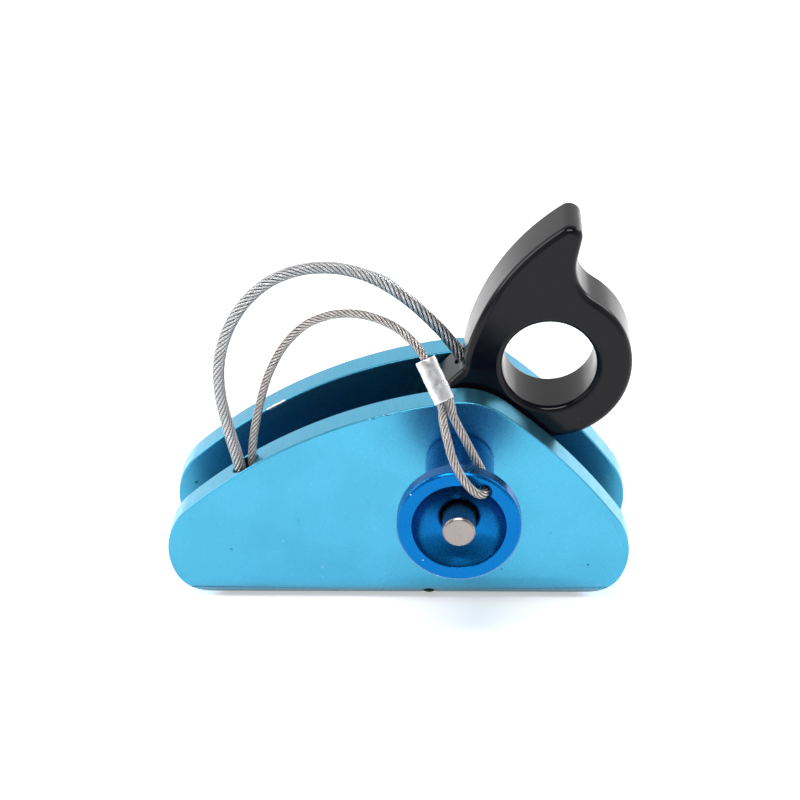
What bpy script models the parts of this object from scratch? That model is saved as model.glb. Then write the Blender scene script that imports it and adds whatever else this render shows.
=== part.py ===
"""Rope ascender: a U-shaped shell, a toothed cam on a ball-lock pin, and two wire tethers.

The rope runs along X through the shell's channel, under the cam. A connector pulls on the
cam's eye, the cam turns clockwise seen from the front, and its lobe presses the rope on the
channel's floor. The pin draws out forwards (-Y) once its button is pushed in.

Frame: X along the rope, Y from the front cheek to the rear cheek, Z up. The origin is the
middle of the shell's flat base. Sizes below are millimetres; MM turns them into metres.
"""
import math

import bmesh
import bpy
from mathutils import Matrix, Vector

MM = 0.001

# Shell
LENGTH = 100.0
WIDTH = 30.6
HEIGHT = 50.1
WALL = 6.8
END_RADIUS = 13.6
CREST_X = 13.8
CREST_RADIUS = 15.1
LEFT_FLANK_RADIUS = 107.0
RIGHT_FLANK_RADIUS = 118.0
BASE_CORNER_RADIUS = 7.2
CHANNEL_CORNER_RADIUS = 2.0
CHEEK_MIDDLE_Y = -(WIDTH - WALL) / 2
FRONT_Y = -WIDTH / 2

# Pin axis and running fits
PIN_X = 13.4
PIN_Z = 35.6
FIT = 0.2

# Cam
CAM_THICKNESS = 14.5
EYE_CENTRE = (32.4, 54.5)
EYE_RADIUS = 10.0
RING_RADIUS = 17.6
HUB_RADIUS = 10.8
LOBE_RISE = 9.8
LOBE_START_DEG = 190.0
NOSE_DEG = 327.0
NOSE_ROUND = 2.5
TOE_ROOT = (14.3, 53.7)
TOE_END = (6.9, 46.3)
TOE_ROUND = 1.2
TOE_MEETS_HUB_DEG = 150.0
TOOTH_FIRST_DEG = 222.0
TOOTH_LAST_DEG = 318.0
TOOTH_COUNT = 11
TOOTH_DEPTH = 0.9
THROAT_RADIUS = 4.0
THROAT_X = 30.7
TIP_RADIUS = 2.6
FIN_TIP = (36.3, 83.9)
TIP_END_DEG = 128.0
SADDLE_RADIUS = 9.0
SADDLE_X = 37.7
BUSH_LENGTH = 16.4
BUSH_RADIUS = 6.25

# Ball-lock pin; distances run forwards (-Y) from the shell's middle plane
SHAFT_RADIUS = 4.5
SHAFT_BORE = 2.2
SHAFT_FRONT = 23.7
SHAFT_REAR = -20.6
STEM_RADIUS = 7.25
STEM_REAR = 15.6
FLANGE_RADIUS = 12.75
FLANGE_REAR = 38.0
FLANGE_FRONT = 42.1
FLANGE_CHAMFER = 0.5
DISH_RADIUS = 9.6
DISH_DEPTH = 4.3
DISH_LIP = 0.3
DISH_SAG = 0.7
BUTTON_BORE = 3.85
BUTTON_RADIUS = 3.4
BUTTON_FRONT = 44.3
BUTTON_REAR = 32.0
SPINDLE_RADIUS = 1.9
SPINDLE_FRONT = 38.0
SPINDLE_REAR = -20.2
GROOVE_RADIUS = 0.95
BALL_RADIUS = 1.6
BALL_PLANE = -17.4
BALL_OFFSET = 3.8
SPRING_WIRE = 0.5
SPRING_RADIUS = 2.9
SPRING_TURNS = 6
TETHER_HOLE = (5.3, 8.4)
TETHER_HOLE_RADIUS = 1.4

# Tethers
CAM_WIRE_RADIUS = 1.3
PIN_WIRE_RADIUS = 0.9
JOINT_GAP = 0.3
WIRE_STEP = 2.0
POCKET_X = -32.5
POCKET_RADIUS = 2.8
POCKET_FLOOR = 22.0
PLUG_TOP = 27.0
CAM_HOLE_MOUTH = (13.4, 53.6)
CAM_HOLE_DIRECTION = (0.518, -0.855)
CAM_HOLE_RADIUS = 2.0
CAM_HOLE_DEPTH = 9.6
STOP_RADIUS = 1.8
STOP_LENGTH = 4.0
FERRULE_TOP = (6.4, -30.3, 68.3)
FERRULE_FOOT = (10.6, -34.3, 60.2)
FERRULE_WIDTH = 4.4
FERRULE_THICKNESS = 3.0

CAM_TETHER_ROUTE = [
    (-33.7, -11.9, 27.3), (-33.7, -11.9, 31.2), (-34.4, -11.9, 35.4), (-35.9, -11.9, 42.0),
    (-37.3, -11.8, 50.2), (-37.2, -11.5, 57.7), (-35.3, -10.9, 64.4), (-31.7, -10.0, 70.4),
    (-26.6, -8.8, 74.8), (-20.8, -7.5, 76.9), (-15.2, -6.3, 77.1), (-9.6, -5.0, 75.8),
    (-3.0, -3.4, 72.4), (3.2, -2.0, 66.9), (8.4, -0.9, 61.0), (11.4, -0.3, 56.9),
    (13.5, 0.0, 53.6), (15.9, 0.0, 49.5),
]
PIN_TETHER_ROUTE = [
    (-31.1, -11.9, 27.3), (-31.1, -11.9, 31.0), (-31.1, -11.9, 35.0), (-30.4, -12.0, 41.0),
    (-28.9, -12.4, 48.3), (-26.6, -13.8, 56.2), (-23.1, -15.8, 63.6), (-18.6, -17.9, 69.3),
    (-13.8, -20.0, 72.6), (-9.0, -22.2, 74.3), (-4.5, -24.3, 74.6), (0.2, -26.6, 73.6),
    (3.8, -28.6, 71.4), (6.2, -30.1, 68.6),
]
LOOP_ROUTE = [
    (9.9, -34.8, 59.4), (10.2, -37.6, 57.9), (11.1, -41.2, 55.4), (12.3, -43.2, 51.8),
    (14.4, -43.8, 47.6), (16.8, -43.8, 44.7), (18.4, -43.1, 44.0), (18.7, -41.3, 44.0),
    (18.7, -39.2, 44.0), (18.6, -37.4, 44.4), (17.8, -36.5, 46.2), (16.0, -36.1, 49.8),
    (13.9, -35.8, 54.1), (12.2, -35.2, 57.6), (11.7, -34.8, 60.0),
]

# Base set screw
SCREW_X = 6.6
SCREW_Y = -12.15
SCREW_RADIUS = 1.8
SCREW_HOLE_RADIUS = 2.0
SCREW_FOOT = 2.0
SCREW_LENGTH = 6.0
SOCKET_RADIUS = 1.15
SOCKET_DEPTH = 2.0

FACE_FORWARD = (math.pi / 2, 0.0, 0.0)
SECTION_ALONG_X = (math.pi / 2, 0.0, math.pi / 2)
TURNED_STEPS = 48
ROUND_SIDES = 32


def clear_scene():
    """Empty the scene of objects."""
    for old in list(bpy.data.objects):
        bpy.data.objects.remove(old, do_unlink=True)


def new_collection(name):
    """Add a collection to the scene."""
    made = bpy.data.collections.new(name)
    bpy.context.scene.collection.children.link(made)
    return made


def new_material(name, colour, roughness, metallic):
    """A Principled material with one colour."""
    material = bpy.data.materials.new(name)
    material.use_nodes = True
    shader = material.node_tree.nodes["Principled BSDF"]
    shader.inputs["Base Color"].default_value = (*colour, 1.0)
    shader.inputs["Roughness"].default_value = roughness
    shader.inputs["Metallic"].default_value = metallic
    material.diffuse_color = (*colour, 1.0)
    return material


def metres(*values):
    """A vector in metres from millimetres."""
    return Vector([value * MM for value in values])


def arc(centre, radius, start, end, step=6.0):
    """Points on an arc, degrees, both ends included."""
    count = max(2, math.ceil(abs(end - start) / step))
    angles = [math.radians(start + (end - start) * i / count) for i in range(count + 1)]
    return [(centre[0] + radius * math.cos(a), centre[1] + radius * math.sin(a)) for a in angles]


def circle(centre, radius, step=7.5):
    """A closed ring of points."""
    return arc(centre, radius, 0.0, 360.0, step)[:-1]


def bowed(start, end, sag, count=8):
    """Points on the arc from start to end that bulges to the right of travel by sag."""
    a, b = Vector(start), Vector(end)
    half = (b - a).length / 2
    radius = (half * half + sag * sag) / (2 * abs(sag))
    along = (b - a).normalized()
    right = Vector((along.y, -along.x)) * math.copysign(1.0, sag)
    centre = (a + b) / 2 + right * (abs(sag) - radius)
    reach = math.asin(min(1.0, half / radius))
    angles = [reach * (2 * i / count - 1) for i in range(count + 1)]
    return [tuple(centre + along * (radius * math.sin(t)) + right * (radius * math.cos(t))) for t in angles]


def bearing(origin, target):
    """Direction from origin to target, from 0 to 360 degrees."""
    return math.degrees(math.atan2(target[1] - origin[1], target[0] - origin[0])) % 360.0


def bridging_centre(left, left_radius, right, right_radius, radius):
    """Centre of the large arc that passes over two circles and touches both from outside."""
    along = Vector(right) - Vector(left)
    to_left = radius - left_radius
    to_right = radius - right_radius
    reach = (to_left ** 2 - to_right ** 2 + along.length ** 2) / (2 * along.length)
    drop = math.sqrt(to_left ** 2 - reach ** 2)
    unit = along.normalized()
    return Vector(left) + unit * reach + Vector((unit.y, -unit.x)) * drop


def without_repeats(points, least=0.02):
    """The points, less any that lies on the one before it."""
    kept = []
    for point in points:
        if not kept or math.dist(point, kept[-1]) > least:
            kept.append(point)
    if math.dist(kept[0], kept[-1]) <= least:
        kept.pop()
    return kept


def link(obj, collection, material=None):
    """Put an object in its collection, with its material."""
    collection.objects.link(obj)
    if material:
        obj.data.materials.clear()
        obj.data.materials.append(material)
    return obj


def smooth(obj):
    """Smooth shading, with sharp edges kept."""
    obj.data.shade_smooth()
    obj.data.set_sharp_from_angle(angle=math.radians(35))
    return obj


def to_mesh(curve):
    """Turn a curve object into a closed mesh object at the same place."""
    bpy.context.scene.collection.objects.link(curve)
    bpy.context.view_layer.update()
    evaluated = curve.evaluated_get(bpy.context.evaluated_depsgraph_get())
    mesh = bpy.data.meshes.new_from_object(evaluated)
    edit = bmesh.new()
    edit.from_mesh(mesh)
    bmesh.ops.remove_doubles(edit, verts=edit.verts, dist=1e-6)
    bmesh.ops.recalc_face_normals(edit, faces=edit.faces)
    edit.to_mesh(mesh)
    edit.free()
    name = curve.name
    place = curve.matrix_world.copy()
    bpy.data.objects.remove(curve)
    made = bpy.data.objects.new(name, mesh)
    made.matrix_world = place
    return made


def plate(name, outlines, thickness, rotation, location=(0, 0, 0)):
    """A flat outline with its holes, given a thickness."""
    data = bpy.data.curves.new(name, "CURVE")
    data.dimensions = "2D"
    data.fill_mode = "BOTH"
    data.extrude = thickness / 2 * MM
    for outline in outlines:
        points = without_repeats(outline)
        spline = data.splines.new("POLY")
        spline.points.add(len(points) - 1)
        for point, (x, y) in zip(spline.points, points):
            point.co = (x * MM, y * MM, 0.0, 1.0)
        spline.use_cyclic_u = True
    curve = bpy.data.objects.new(name, data)
    curve.rotation_euler = rotation
    curve.location = metres(*location)
    return to_mesh(curve)


def turned(name, profile, closed, steps=TURNED_STEPS):
    """A profile of (radius, distance) turned about its own Z axis."""
    points = [(radius * MM, 0.0, height * MM) for radius, height in without_repeats(profile)]
    edges = [(i, i + 1) for i in range(len(points) - 1)]
    if closed:
        edges.append((len(points) - 1, 0))
    mesh = bpy.data.meshes.new(name)
    mesh.from_pydata(points, edges, [])
    obj = bpy.data.objects.new(name, mesh)
    screw = obj.modifiers.new("turn", "SCREW")
    screw.axis = "Z"
    screw.steps = steps
    screw.render_steps = steps
    screw.use_merge_vertices = True
    screw.merge_threshold = 1e-6
    return obj


def rod(name, radius, start, end, sides=ROUND_SIDES):
    """A cylinder between two points."""
    a, b = metres(*start), metres(*end)
    edit = bmesh.new()
    bmesh.ops.create_cone(
        edit, cap_ends=True, segments=sides, radius1=radius * MM, radius2=radius * MM, depth=(b - a).length
    )
    mesh = bpy.data.meshes.new(name)
    edit.to_mesh(mesh)
    edit.free()
    obj = bpy.data.objects.new(name, mesh)
    turn = (b - a).to_track_quat("Z", "Y").to_matrix().to_4x4()
    obj.matrix_world = Matrix.Translation((a + b) / 2) @ turn
    return obj


def smooth_route(route, step):
    """Evenly spaced points on the smooth curve through a route's own points."""
    knots = [Vector(point) for point in route]
    padded = [2 * knots[0] - knots[1], *knots, 2 * knots[-1] - knots[-2]]
    fine = []
    for p0, p1, p2, p3 in zip(padded, padded[1:], padded[2:], padded[3:]):
        for i in range(24):
            t = i / 24
            fine.append(
                0.5 * (2 * p1 + (p2 - p0) * t + (2 * p0 - 5 * p1 + 4 * p2 - p3) * t * t
                       + (3 * p1 - p0 - 3 * p2 + p3) * t ** 3)
            )
    fine.append(knots[-1])
    lengths = [0.0]
    for a, b in zip(fine, fine[1:]):
        lengths.append(lengths[-1] + (b - a).length)
    count = round(lengths[-1] / step)
    spaced = []
    j = 0
    for i in range(count + 1):
        wanted = lengths[-1] * i / count
        while j < len(lengths) - 2 and lengths[j + 1] < wanted:
            j += 1
        share = (wanted - lengths[j]) / max(lengths[j + 1] - lengths[j], 1e-9)
        spaced.append(fine[j].lerp(fine[j + 1], min(1.0, share)))
    return spaced


def wire(name, points, radius, collection, material):
    """A round wire along points in millimetres."""
    data = bpy.data.curves.new(name, "CURVE")
    data.dimensions = "3D"
    data.bevel_depth = radius * MM
    data.bevel_resolution = 2
    data.use_fill_caps = True
    spline = data.splines.new("POLY")
    spline.points.add(len(points) - 1)
    for point, place in zip(spline.points, points):
        point.co = (*metres(*place), 1.0)
    return link(bpy.data.objects.new(name, data), collection, material)


def cut(obj, cutter, cutters, operation="DIFFERENCE"):
    """Cut obj with another mesh, which is kept hidden."""
    if cutter.name not in cutters.objects:
        cutters.objects.link(cutter)
    cutter.hide_render = True
    cutter.display_type = "WIRE"
    boolean = obj.modifiers.new(cutter.name, "BOOLEAN")
    boolean.operation = operation
    boolean.solver = "EXACT"
    boolean.object = cutter
    return obj


def on_axis(obj, axis):
    """Hang a turned piece on the pin axis, its own Z pointing forwards."""
    obj.parent = axis
    return obj


# ---- outlines ------------------------------------------------------------------------------


def shell_outline():
    """The cheeks' side view: two end rounds, a crest round and two long flanks."""
    left = (-LENGTH / 2 + END_RADIUS, END_RADIUS)
    right = (LENGTH / 2 - END_RADIUS, END_RADIUS)
    crest = (CREST_X, HEIGHT - CREST_RADIUS)
    rise = bridging_centre(left, END_RADIUS, crest, CREST_RADIUS, LEFT_FLANK_RADIUS)
    fall = bridging_centre(crest, CREST_RADIUS, right, END_RADIUS, RIGHT_FLANK_RADIUS)
    turn_right = bearing(fall, right)
    turn_fall = bearing(fall, crest)
    turn_rise = bearing(rise, crest)
    turn_left = bearing(rise, left)
    return [
        *arc(right, END_RADIUS, -90.0, turn_right),
        *arc(fall, RIGHT_FLANK_RADIUS, turn_right, turn_fall, 2.0),
        *arc(crest, CREST_RADIUS, turn_fall, turn_rise),
        *arc(rise, LEFT_FLANK_RADIUS, turn_rise, turn_left, 2.0),
        *arc(left, END_RADIUS, turn_left, 270.0),
    ]


def channel_section():
    """The U of floor and two cheeks, open at the top."""
    outer = WIDTH / 2
    inner = outer - WALL
    top = HEIGHT + 2.0
    corner = BASE_CORNER_RADIUS
    inside = CHANNEL_CORNER_RADIUS
    return [
        (-outer, top),
        *arc((-outer + corner, corner), corner, 180.0, 270.0),
        *arc((outer - corner, corner), corner, 270.0, 360.0),
        (outer, top),
        (inner, top),
        *arc((inner - inside, WALL + inside), inside, 0.0, -90.0, 15.0),
        *arc((-inner + inside, WALL + inside), inside, -90.0, -180.0, 15.0),
        (-inner, top),
    ]


def rounded_corner(before, corner, after, radius, count=4):
    """Points that round a corner between two straight lines."""
    b = Vector(corner)
    u = (Vector(before) - b).normalized()
    v = (Vector(after) - b).normalized()
    half = u.angle(v) / 2
    centre = b + (u + v).normalized() * (radius / math.sin(half))
    start = bearing(centre, b + u * (radius / math.tan(half)))
    end = bearing(centre, b + v * (radius / math.tan(half)))
    turn = (end - start + 180.0) % 360.0 - 180.0
    return arc(centre, radius, start, start + turn, abs(turn) / count)


def lobe_point(degrees, depth=0.0):
    """A point on the hub or, past its start, on the lobe that grows towards its nose."""
    share = max(0.0, (degrees - LOBE_START_DEG) / (NOSE_DEG - LOBE_START_DEG))
    radius = HUB_RADIUS + LOBE_RISE * share * share * (3 - 2 * share) - depth
    angle = math.radians(degrees)
    return (PIN_X + radius * math.cos(angle), PIN_Z + radius * math.sin(angle))


def lobe_outline():
    """The hub from the toe on, then the lobe with its teeth, up to the nose."""
    smooth_part = [lobe_point(d) for d in range(int(TOE_MEETS_HUB_DEG), int(TOOTH_FIRST_DEG), 6)]
    pitch = (TOOTH_LAST_DEG - TOOTH_FIRST_DEG) / TOOTH_COUNT
    teeth = []
    for i in range(TOOTH_COUNT):
        start = TOOTH_FIRST_DEG + i * pitch
        teeth.append(lobe_point(start))
        teeth.append(lobe_point(start + 0.35 * pitch, TOOTH_DEPTH))
    return [*smooth_part, *teeth, lobe_point(TOOTH_LAST_DEG)]


def throat_centre():
    """Centre of the hollow between the lobe's nose and the ring."""
    x = THROAT_X + THROAT_RADIUS
    reach = RING_RADIUS + THROAT_RADIUS
    return (x, EYE_CENTRE[1] - math.sqrt(reach ** 2 - (x - EYE_CENTRE[0]) ** 2))


def saddle_centre():
    """Centre of the hollow between the ring and the fin's right side."""
    x = SADDLE_X + SADDLE_RADIUS
    reach = RING_RADIUS + SADDLE_RADIUS
    return (x, EYE_CENTRE[1] + math.sqrt(reach ** 2 - (x - EYE_CENTRE[0]) ** 2))


def saddle_end(saddle):
    """Bearing from the saddle's centre where it runs straight on to the fin's round tip."""
    span = math.dist(saddle, FIN_TIP)
    return bearing(saddle, FIN_TIP) + math.degrees(math.acos((SADDLE_RADIUS + TIP_RADIUS) / span))


def cam_outline():
    """The cam's side view, counter-clockwise from the toe."""
    throat = throat_centre()
    saddle = saddle_centre()
    leave = saddle_end(saddle)
    tip = arc(FIN_TIP, TIP_RADIUS, leave - 180.0, TIP_END_DEG, 15.0)
    ring_from = bearing(EYE_CENTRE, throat)
    ring_to = bearing(EYE_CENTRE, saddle)
    nose = (THROAT_X, lobe_point(NOSE_DEG)[1])
    return [
        TOE_ROOT,
        *rounded_corner(TOE_ROOT, TOE_END, lobe_point(TOE_MEETS_HUB_DEG), TOE_ROUND),
        *lobe_outline(),
        *rounded_corner(lobe_point(TOOTH_LAST_DEG), nose, (THROAT_X, throat[1]), NOSE_ROUND),
        *arc(throat, THROAT_RADIUS, 180.0, bearing(throat, EYE_CENTRE), 12.0),
        *arc(EYE_CENTRE, RING_RADIUS, ring_from - 360.0, ring_to, 5.0),
        *arc(saddle, SADDLE_RADIUS, bearing(saddle, EYE_CENTRE), leave, 9.0),
        *tip[:-1],
        *bowed(tip[-1], (14.2, 54.6), 3.6, 14),
    ]


def about_pin(points):
    """Move an outline so that the pin axis is its origin."""
    return [(x - PIN_X, z - PIN_Z) for x, z in points]


# ---- sub-parts -----------------------------------------------------------------------------


def make_shell(parts, cutters, material):
    """One-piece channel: two cheeks and a floor, with its bores."""
    shell = plate("shell", [shell_outline()], WIDTH + 2.0, FACE_FORWARD)
    link(smooth(shell), parts, material)
    section = plate("channel_section", [channel_section()], LENGTH + 4.0, SECTION_ALONG_X)
    cut(shell, section, cutters, "INTERSECT")
    bore = rod("pin_bore", SHAFT_RADIUS + FIT, (PIN_X, -20, PIN_Z), (PIN_X, 20, PIN_Z), TURNED_STEPS)
    cut(shell, bore, cutters)
    top = (POCKET_X, CHEEK_MIDDLE_Y, HEIGHT)
    pocket = rod("tether_pocket", POCKET_RADIUS, (POCKET_X, CHEEK_MIDDLE_Y, POCKET_FLOOR), top)
    cut(shell, pocket, cutters)
    hole_top = (SCREW_X, SCREW_Y, SCREW_FOOT + SCREW_LENGTH + JOINT_GAP)
    cut(shell, rod("screw_hole", SCREW_HOLE_RADIUS, (SCREW_X, SCREW_Y, -2.0), hole_top), cutters)
    return shell


def make_set_screw(parts, cutters, material):
    """Socket set screw in the base of the front cheek."""
    head = (SCREW_X, SCREW_Y, SCREW_FOOT)
    screw = rod("base_set_screw", SCREW_RADIUS, head, (SCREW_X, SCREW_Y, SCREW_FOOT + SCREW_LENGTH))
    link(smooth(screw), parts, material)
    inside = (SCREW_X, SCREW_Y, SCREW_FOOT + SOCKET_DEPTH)
    cut(screw, rod("hex_socket", SOCKET_RADIUS, (SCREW_X, SCREW_Y, 0.0), inside, 6), cutters)
    return screw


def make_cam(parts, cutters, material):
    """Cam with its eye, fin, toothed lobe and tether hole."""
    outlines = [about_pin(cam_outline()), about_pin(circle(EYE_CENTRE, EYE_RADIUS)),
                circle((0, 0), BUSH_RADIUS + FIT)]
    cam = plate("cam", outlines, CAM_THICKNESS, FACE_FORWARD, (PIN_X, 0, PIN_Z))
    link(smooth(cam), parts, material)
    start = hole_point(-4.0)
    cut(cam, rod("cam_tether_hole", CAM_HOLE_RADIUS, start, hole_point(CAM_HOLE_DEPTH)), cutters)
    return cam


def hole_point(depth):
    """A point on the axis of the cam's tether hole, at a depth from its mouth."""
    x, z = CAM_HOLE_MOUTH
    return (x + CAM_HOLE_DIRECTION[0] * depth, 0.0, z + CAM_HOLE_DIRECTION[1] * depth)


def make_cam_bush(axis, parts, material):
    """Bush pressed in the cam; it runs on the shaft and keeps the cam off the cheeks."""
    half = BUSH_LENGTH / 2
    edge = 0.3
    profile = [(BUSH_RADIUS - edge, half), (BUSH_RADIUS, half - edge), (BUSH_RADIUS, edge - half),
               (BUSH_RADIUS - edge, -half), (SHAFT_RADIUS + FIT, -half), (SHAFT_RADIUS + FIT, half)]
    return link(on_axis(turned("cam_bush", profile, True), axis), parts, material)


def make_cam_tether_stop(parts, material):
    """Sleeve crimped on the cam tether's end, at the bottom of its hole."""
    foot = CAM_HOLE_DEPTH - JOINT_GAP
    stop = rod("cam_tether_stop", STOP_RADIUS, hole_point(foot - STOP_LENGTH), hole_point(foot))
    return link(smooth(stop), parts, material)


def make_knob(axis, parts, cutters, material):
    """Pin handle: a stem, a flange with a dished face, and the button's bore."""
    front = FLANGE_FRONT
    floor = front - DISH_DEPTH
    edge = FLANGE_CHAMFER
    profile = [
        (FLANGE_RADIUS - edge, front),
        (FLANGE_RADIUS, front - edge),
        (FLANGE_RADIUS, FLANGE_REAR + edge),
        (FLANGE_RADIUS - edge, FLANGE_REAR),
        (STEM_RADIUS + 0.6, FLANGE_REAR),
        (STEM_RADIUS, FLANGE_REAR - 0.6),
        (STEM_RADIUS, STEM_REAR + 0.4),
        (STEM_RADIUS - 0.4, STEM_REAR),
        (SHAFT_RADIUS + FIT, STEM_REAR),
        (SHAFT_RADIUS + FIT, SHAFT_FRONT + JOINT_GAP),
        (BUTTON_BORE, SHAFT_FRONT + JOINT_GAP),
        (BUTTON_BORE, floor - 0.4),
        *bowed((BUTTON_BORE + 0.4, floor), (DISH_RADIUS, front - DISH_LIP), DISH_SAG),
        (DISH_RADIUS, front),
    ]
    knob = link(on_axis(turned("pin_knob", profile, True), axis), parts, material)
    x, z = PIN_X + TETHER_HOLE[0], PIN_Z + TETHER_HOLE[1]
    hole = rod("tether_hole", TETHER_HOLE_RADIUS, (x, -FLANGE_FRONT - 4.0, z), (x, -FLANGE_REAR + 4.0, z), 24)
    return cut(knob, hole, cutters)


def make_shaft(axis, parts, cutters, material):
    """Hollow pin shaft with cross holes for the lock balls."""
    profile = [
        (SHAFT_RADIUS - 0.3, SHAFT_FRONT),
        (SHAFT_RADIUS, SHAFT_FRONT - 0.3),
        (SHAFT_RADIUS, SHAFT_REAR + 0.8),
        (SHAFT_RADIUS - 0.8, SHAFT_REAR),
        (SHAFT_BORE, SHAFT_REAR),
        (SHAFT_BORE, SHAFT_FRONT),
    ]
    shaft = link(on_axis(turned("pin_shaft", profile, True), axis), parts, material)
    low = (PIN_X, -BALL_PLANE, PIN_Z - SHAFT_RADIUS - 2.0)
    high = (PIN_X, -BALL_PLANE, PIN_Z + SHAFT_RADIUS + 2.0)
    return cut(shaft, rod("ball_holes", BALL_RADIUS + 0.15, low, high, 24), cutters)


def make_button(axis, parts, material):
    """Release button with a blind bore for the spindle."""
    edge = 0.45
    bore = SPINDLE_RADIUS + 0.15
    profile = [
        (0.0, BUTTON_FRONT),
        (BUTTON_RADIUS - edge, BUTTON_FRONT),
        (BUTTON_RADIUS, BUTTON_FRONT - edge),
        (BUTTON_RADIUS, BUTTON_REAR),
        (bore, BUTTON_REAR),
        (bore, SPINDLE_FRONT + 0.2),
        (0.0, SPINDLE_FRONT + 0.2),
    ]
    return link(on_axis(turned("push_button", profile, False), axis), parts, material)


def make_spindle(axis, parts, material):
    """Rod that holds the balls out; its groove lets them in when the button is pushed."""
    profile = [
        (0.0, SPINDLE_FRONT),
        (SPINDLE_RADIUS, SPINDLE_FRONT),
        (SPINDLE_RADIUS, BALL_PLANE + 5.4),
        (GROOVE_RADIUS, BALL_PLANE + 4.6),
        (GROOVE_RADIUS, BALL_PLANE + 2.0),
        (SPINDLE_RADIUS, BALL_PLANE + 0.3),
        (SPINDLE_RADIUS, SPINDLE_REAR + 0.3),
        (SPINDLE_RADIUS - 0.3, SPINDLE_REAR),
        (0.0, SPINDLE_REAR),
    ]
    return link(on_axis(turned("spindle", profile, False, ROUND_SIDES), axis), parts, material)


def make_spring(axis, parts, material):
    """Coil spring between the shaft's front end and the button."""
    bottom = SHAFT_FRONT + SPRING_WIRE / 2 + 0.2
    top = BUTTON_REAR - SPRING_WIRE / 2 - 0.2
    count = SPRING_TURNS * 10
    points = []
    for i in range(count + 1):
        turn = 2 * math.pi * SPRING_TURNS * i / count
        height = bottom + (top - bottom) * i / count
        points.append((SPRING_RADIUS * math.cos(turn), SPRING_RADIUS * math.sin(turn), height))
    return on_axis(wire("button_spring", points, SPRING_WIRE / 2, parts, material), axis)


def make_lock_balls(parts, material):
    """The two steel balls that stand out behind the rear cheek."""
    for name, side in (("lock_ball_upper", 1), ("lock_ball_lower", -1)):
        edit = bmesh.new()
        bmesh.ops.create_uvsphere(edit, u_segments=20, v_segments=12, radius=BALL_RADIUS * MM)
        mesh = bpy.data.meshes.new(name)
        edit.to_mesh(mesh)
        edit.free()
        ball = link(bpy.data.objects.new(name, mesh), parts, material)
        ball.location = metres(PIN_X, -BALL_PLANE, PIN_Z + side * BALL_OFFSET)
        smooth(ball)


def make_anchor_plug(parts, material):
    """Crimped plug that holds both tethers at the bottom of the shell's pocket."""
    foot = (POCKET_X, CHEEK_MIDDLE_Y, POCKET_FLOOR + JOINT_GAP)
    plug = rod("tether_anchor_plug", POCKET_RADIUS - FIT, foot, (POCKET_X, CHEEK_MIDDLE_Y, PLUG_TOP))
    return link(smooth(plug), parts, material)


def make_ferrule(parts, material):
    """Oval crimp sleeve that closes the pin tether's loop."""
    top, foot = Vector(FERRULE_TOP), Vector(FERRULE_FOOT)
    down = (foot - top).normalized()
    wide = Vector((1, 0, 0))
    wide = (wide - down * wide.dot(down)).normalized()
    side = FERRULE_THICKNESS / 2
    reach = FERRULE_WIDTH / 2 - side
    outline = [*arc((reach, 0), side, -90, 90, 15), *arc((-reach, 0), side, 90, 270, 15)]
    ferrule = plate("tether_ferrule", [outline], (foot - top).length - 2 * JOINT_GAP, (0, 0, 0))
    turn = Matrix((wide, down.cross(wide), down)).transposed().to_4x4()
    ferrule.matrix_world = Matrix.Translation((top + foot) / 2 * MM) @ turn
    bevel = ferrule.modifiers.new("rounded_ends", "BEVEL")
    bevel.width = 0.35 * MM
    bevel.segments = 2
    bevel.limit_method = "ANGLE"
    bevel.angle_limit = math.radians(60)
    return link(smooth(ferrule), parts, material)


def make_tethers(parts, wire_material):
    """The two wire tethers, the pin's in two lengths either side of its ferrule."""
    wire("cam_tether", smooth_route(CAM_TETHER_ROUTE, WIRE_STEP), CAM_WIRE_RADIUS, parts, wire_material)
    wire("pin_tether", smooth_route(PIN_TETHER_ROUTE, WIRE_STEP), PIN_WIRE_RADIUS, parts, wire_material)
    wire("pin_tether_loop", smooth_route(LOOP_ROUTE, 0.9), PIN_WIRE_RADIUS, parts, wire_material)


def main():
    """Build every sub-part."""
    clear_scene()
    parts = new_collection("ascender")
    cutters = new_collection("cutters")
    cyan = new_material("cyan_anodised", (0.085, 0.51, 0.79), 0.38, 0.9)
    blue = new_material("deep_blue_anodised", (0.004, 0.19, 0.56), 0.25, 0.95)
    black = new_material("black_coating", (0.010, 0.010, 0.013), 0.32, 0.0)
    steel = new_material("stainless_steel", (0.56, 0.54, 0.52), 0.3, 1.0)
    bronze = new_material("bush_bronze", (0.55, 0.38, 0.18), 0.4, 1.0)
    oxide = new_material("black_oxide", (0.02, 0.02, 0.022), 0.45, 0.8)
    bright = new_material("raw_aluminium", (0.72, 0.72, 0.73), 0.3, 1.0)
    wire_rope = new_material("wire_rope", (0.42, 0.42, 0.40), 0.4, 0.8)

    axis = bpy.data.objects.new("pin_axis", None)
    axis.location = metres(PIN_X, 0, PIN_Z)
    axis.rotation_euler = FACE_FORWARD
    parts.objects.link(axis)

    make_shell(parts, cutters, cyan)
    make_set_screw(parts, cutters, oxide)
    make_cam(parts, cutters, black)
    make_cam_bush(axis, parts, bronze)
    make_cam_tether_stop(parts, bright)
    make_knob(axis, parts, cutters, blue)
    make_shaft(axis, parts, cutters, steel)
    make_button(axis, parts, steel)
    make_spindle(axis, parts, steel)
    make_spring(axis, parts, steel)
    make_lock_balls(parts, steel)
    make_anchor_plug(parts, bright)
    make_ferrule(parts, bright)
    make_tethers(parts, wire_rope)


main()
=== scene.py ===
"""Looks of a rope ascender: cyan shell, black cam, blue ball-lock pin and two wire tethers.

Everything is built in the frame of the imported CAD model: X along the rope, Y from the front
cheek to the rear cheek, Z up. Sizes in the classes are millimetres; MM makes them metres.
"""
import sys
import logging
import math
from dataclasses import dataclass, field
from enum import Enum
from typing import Callable, Iterable, Sequence

import bpy
from mathutils import Matrix, Vector


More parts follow.
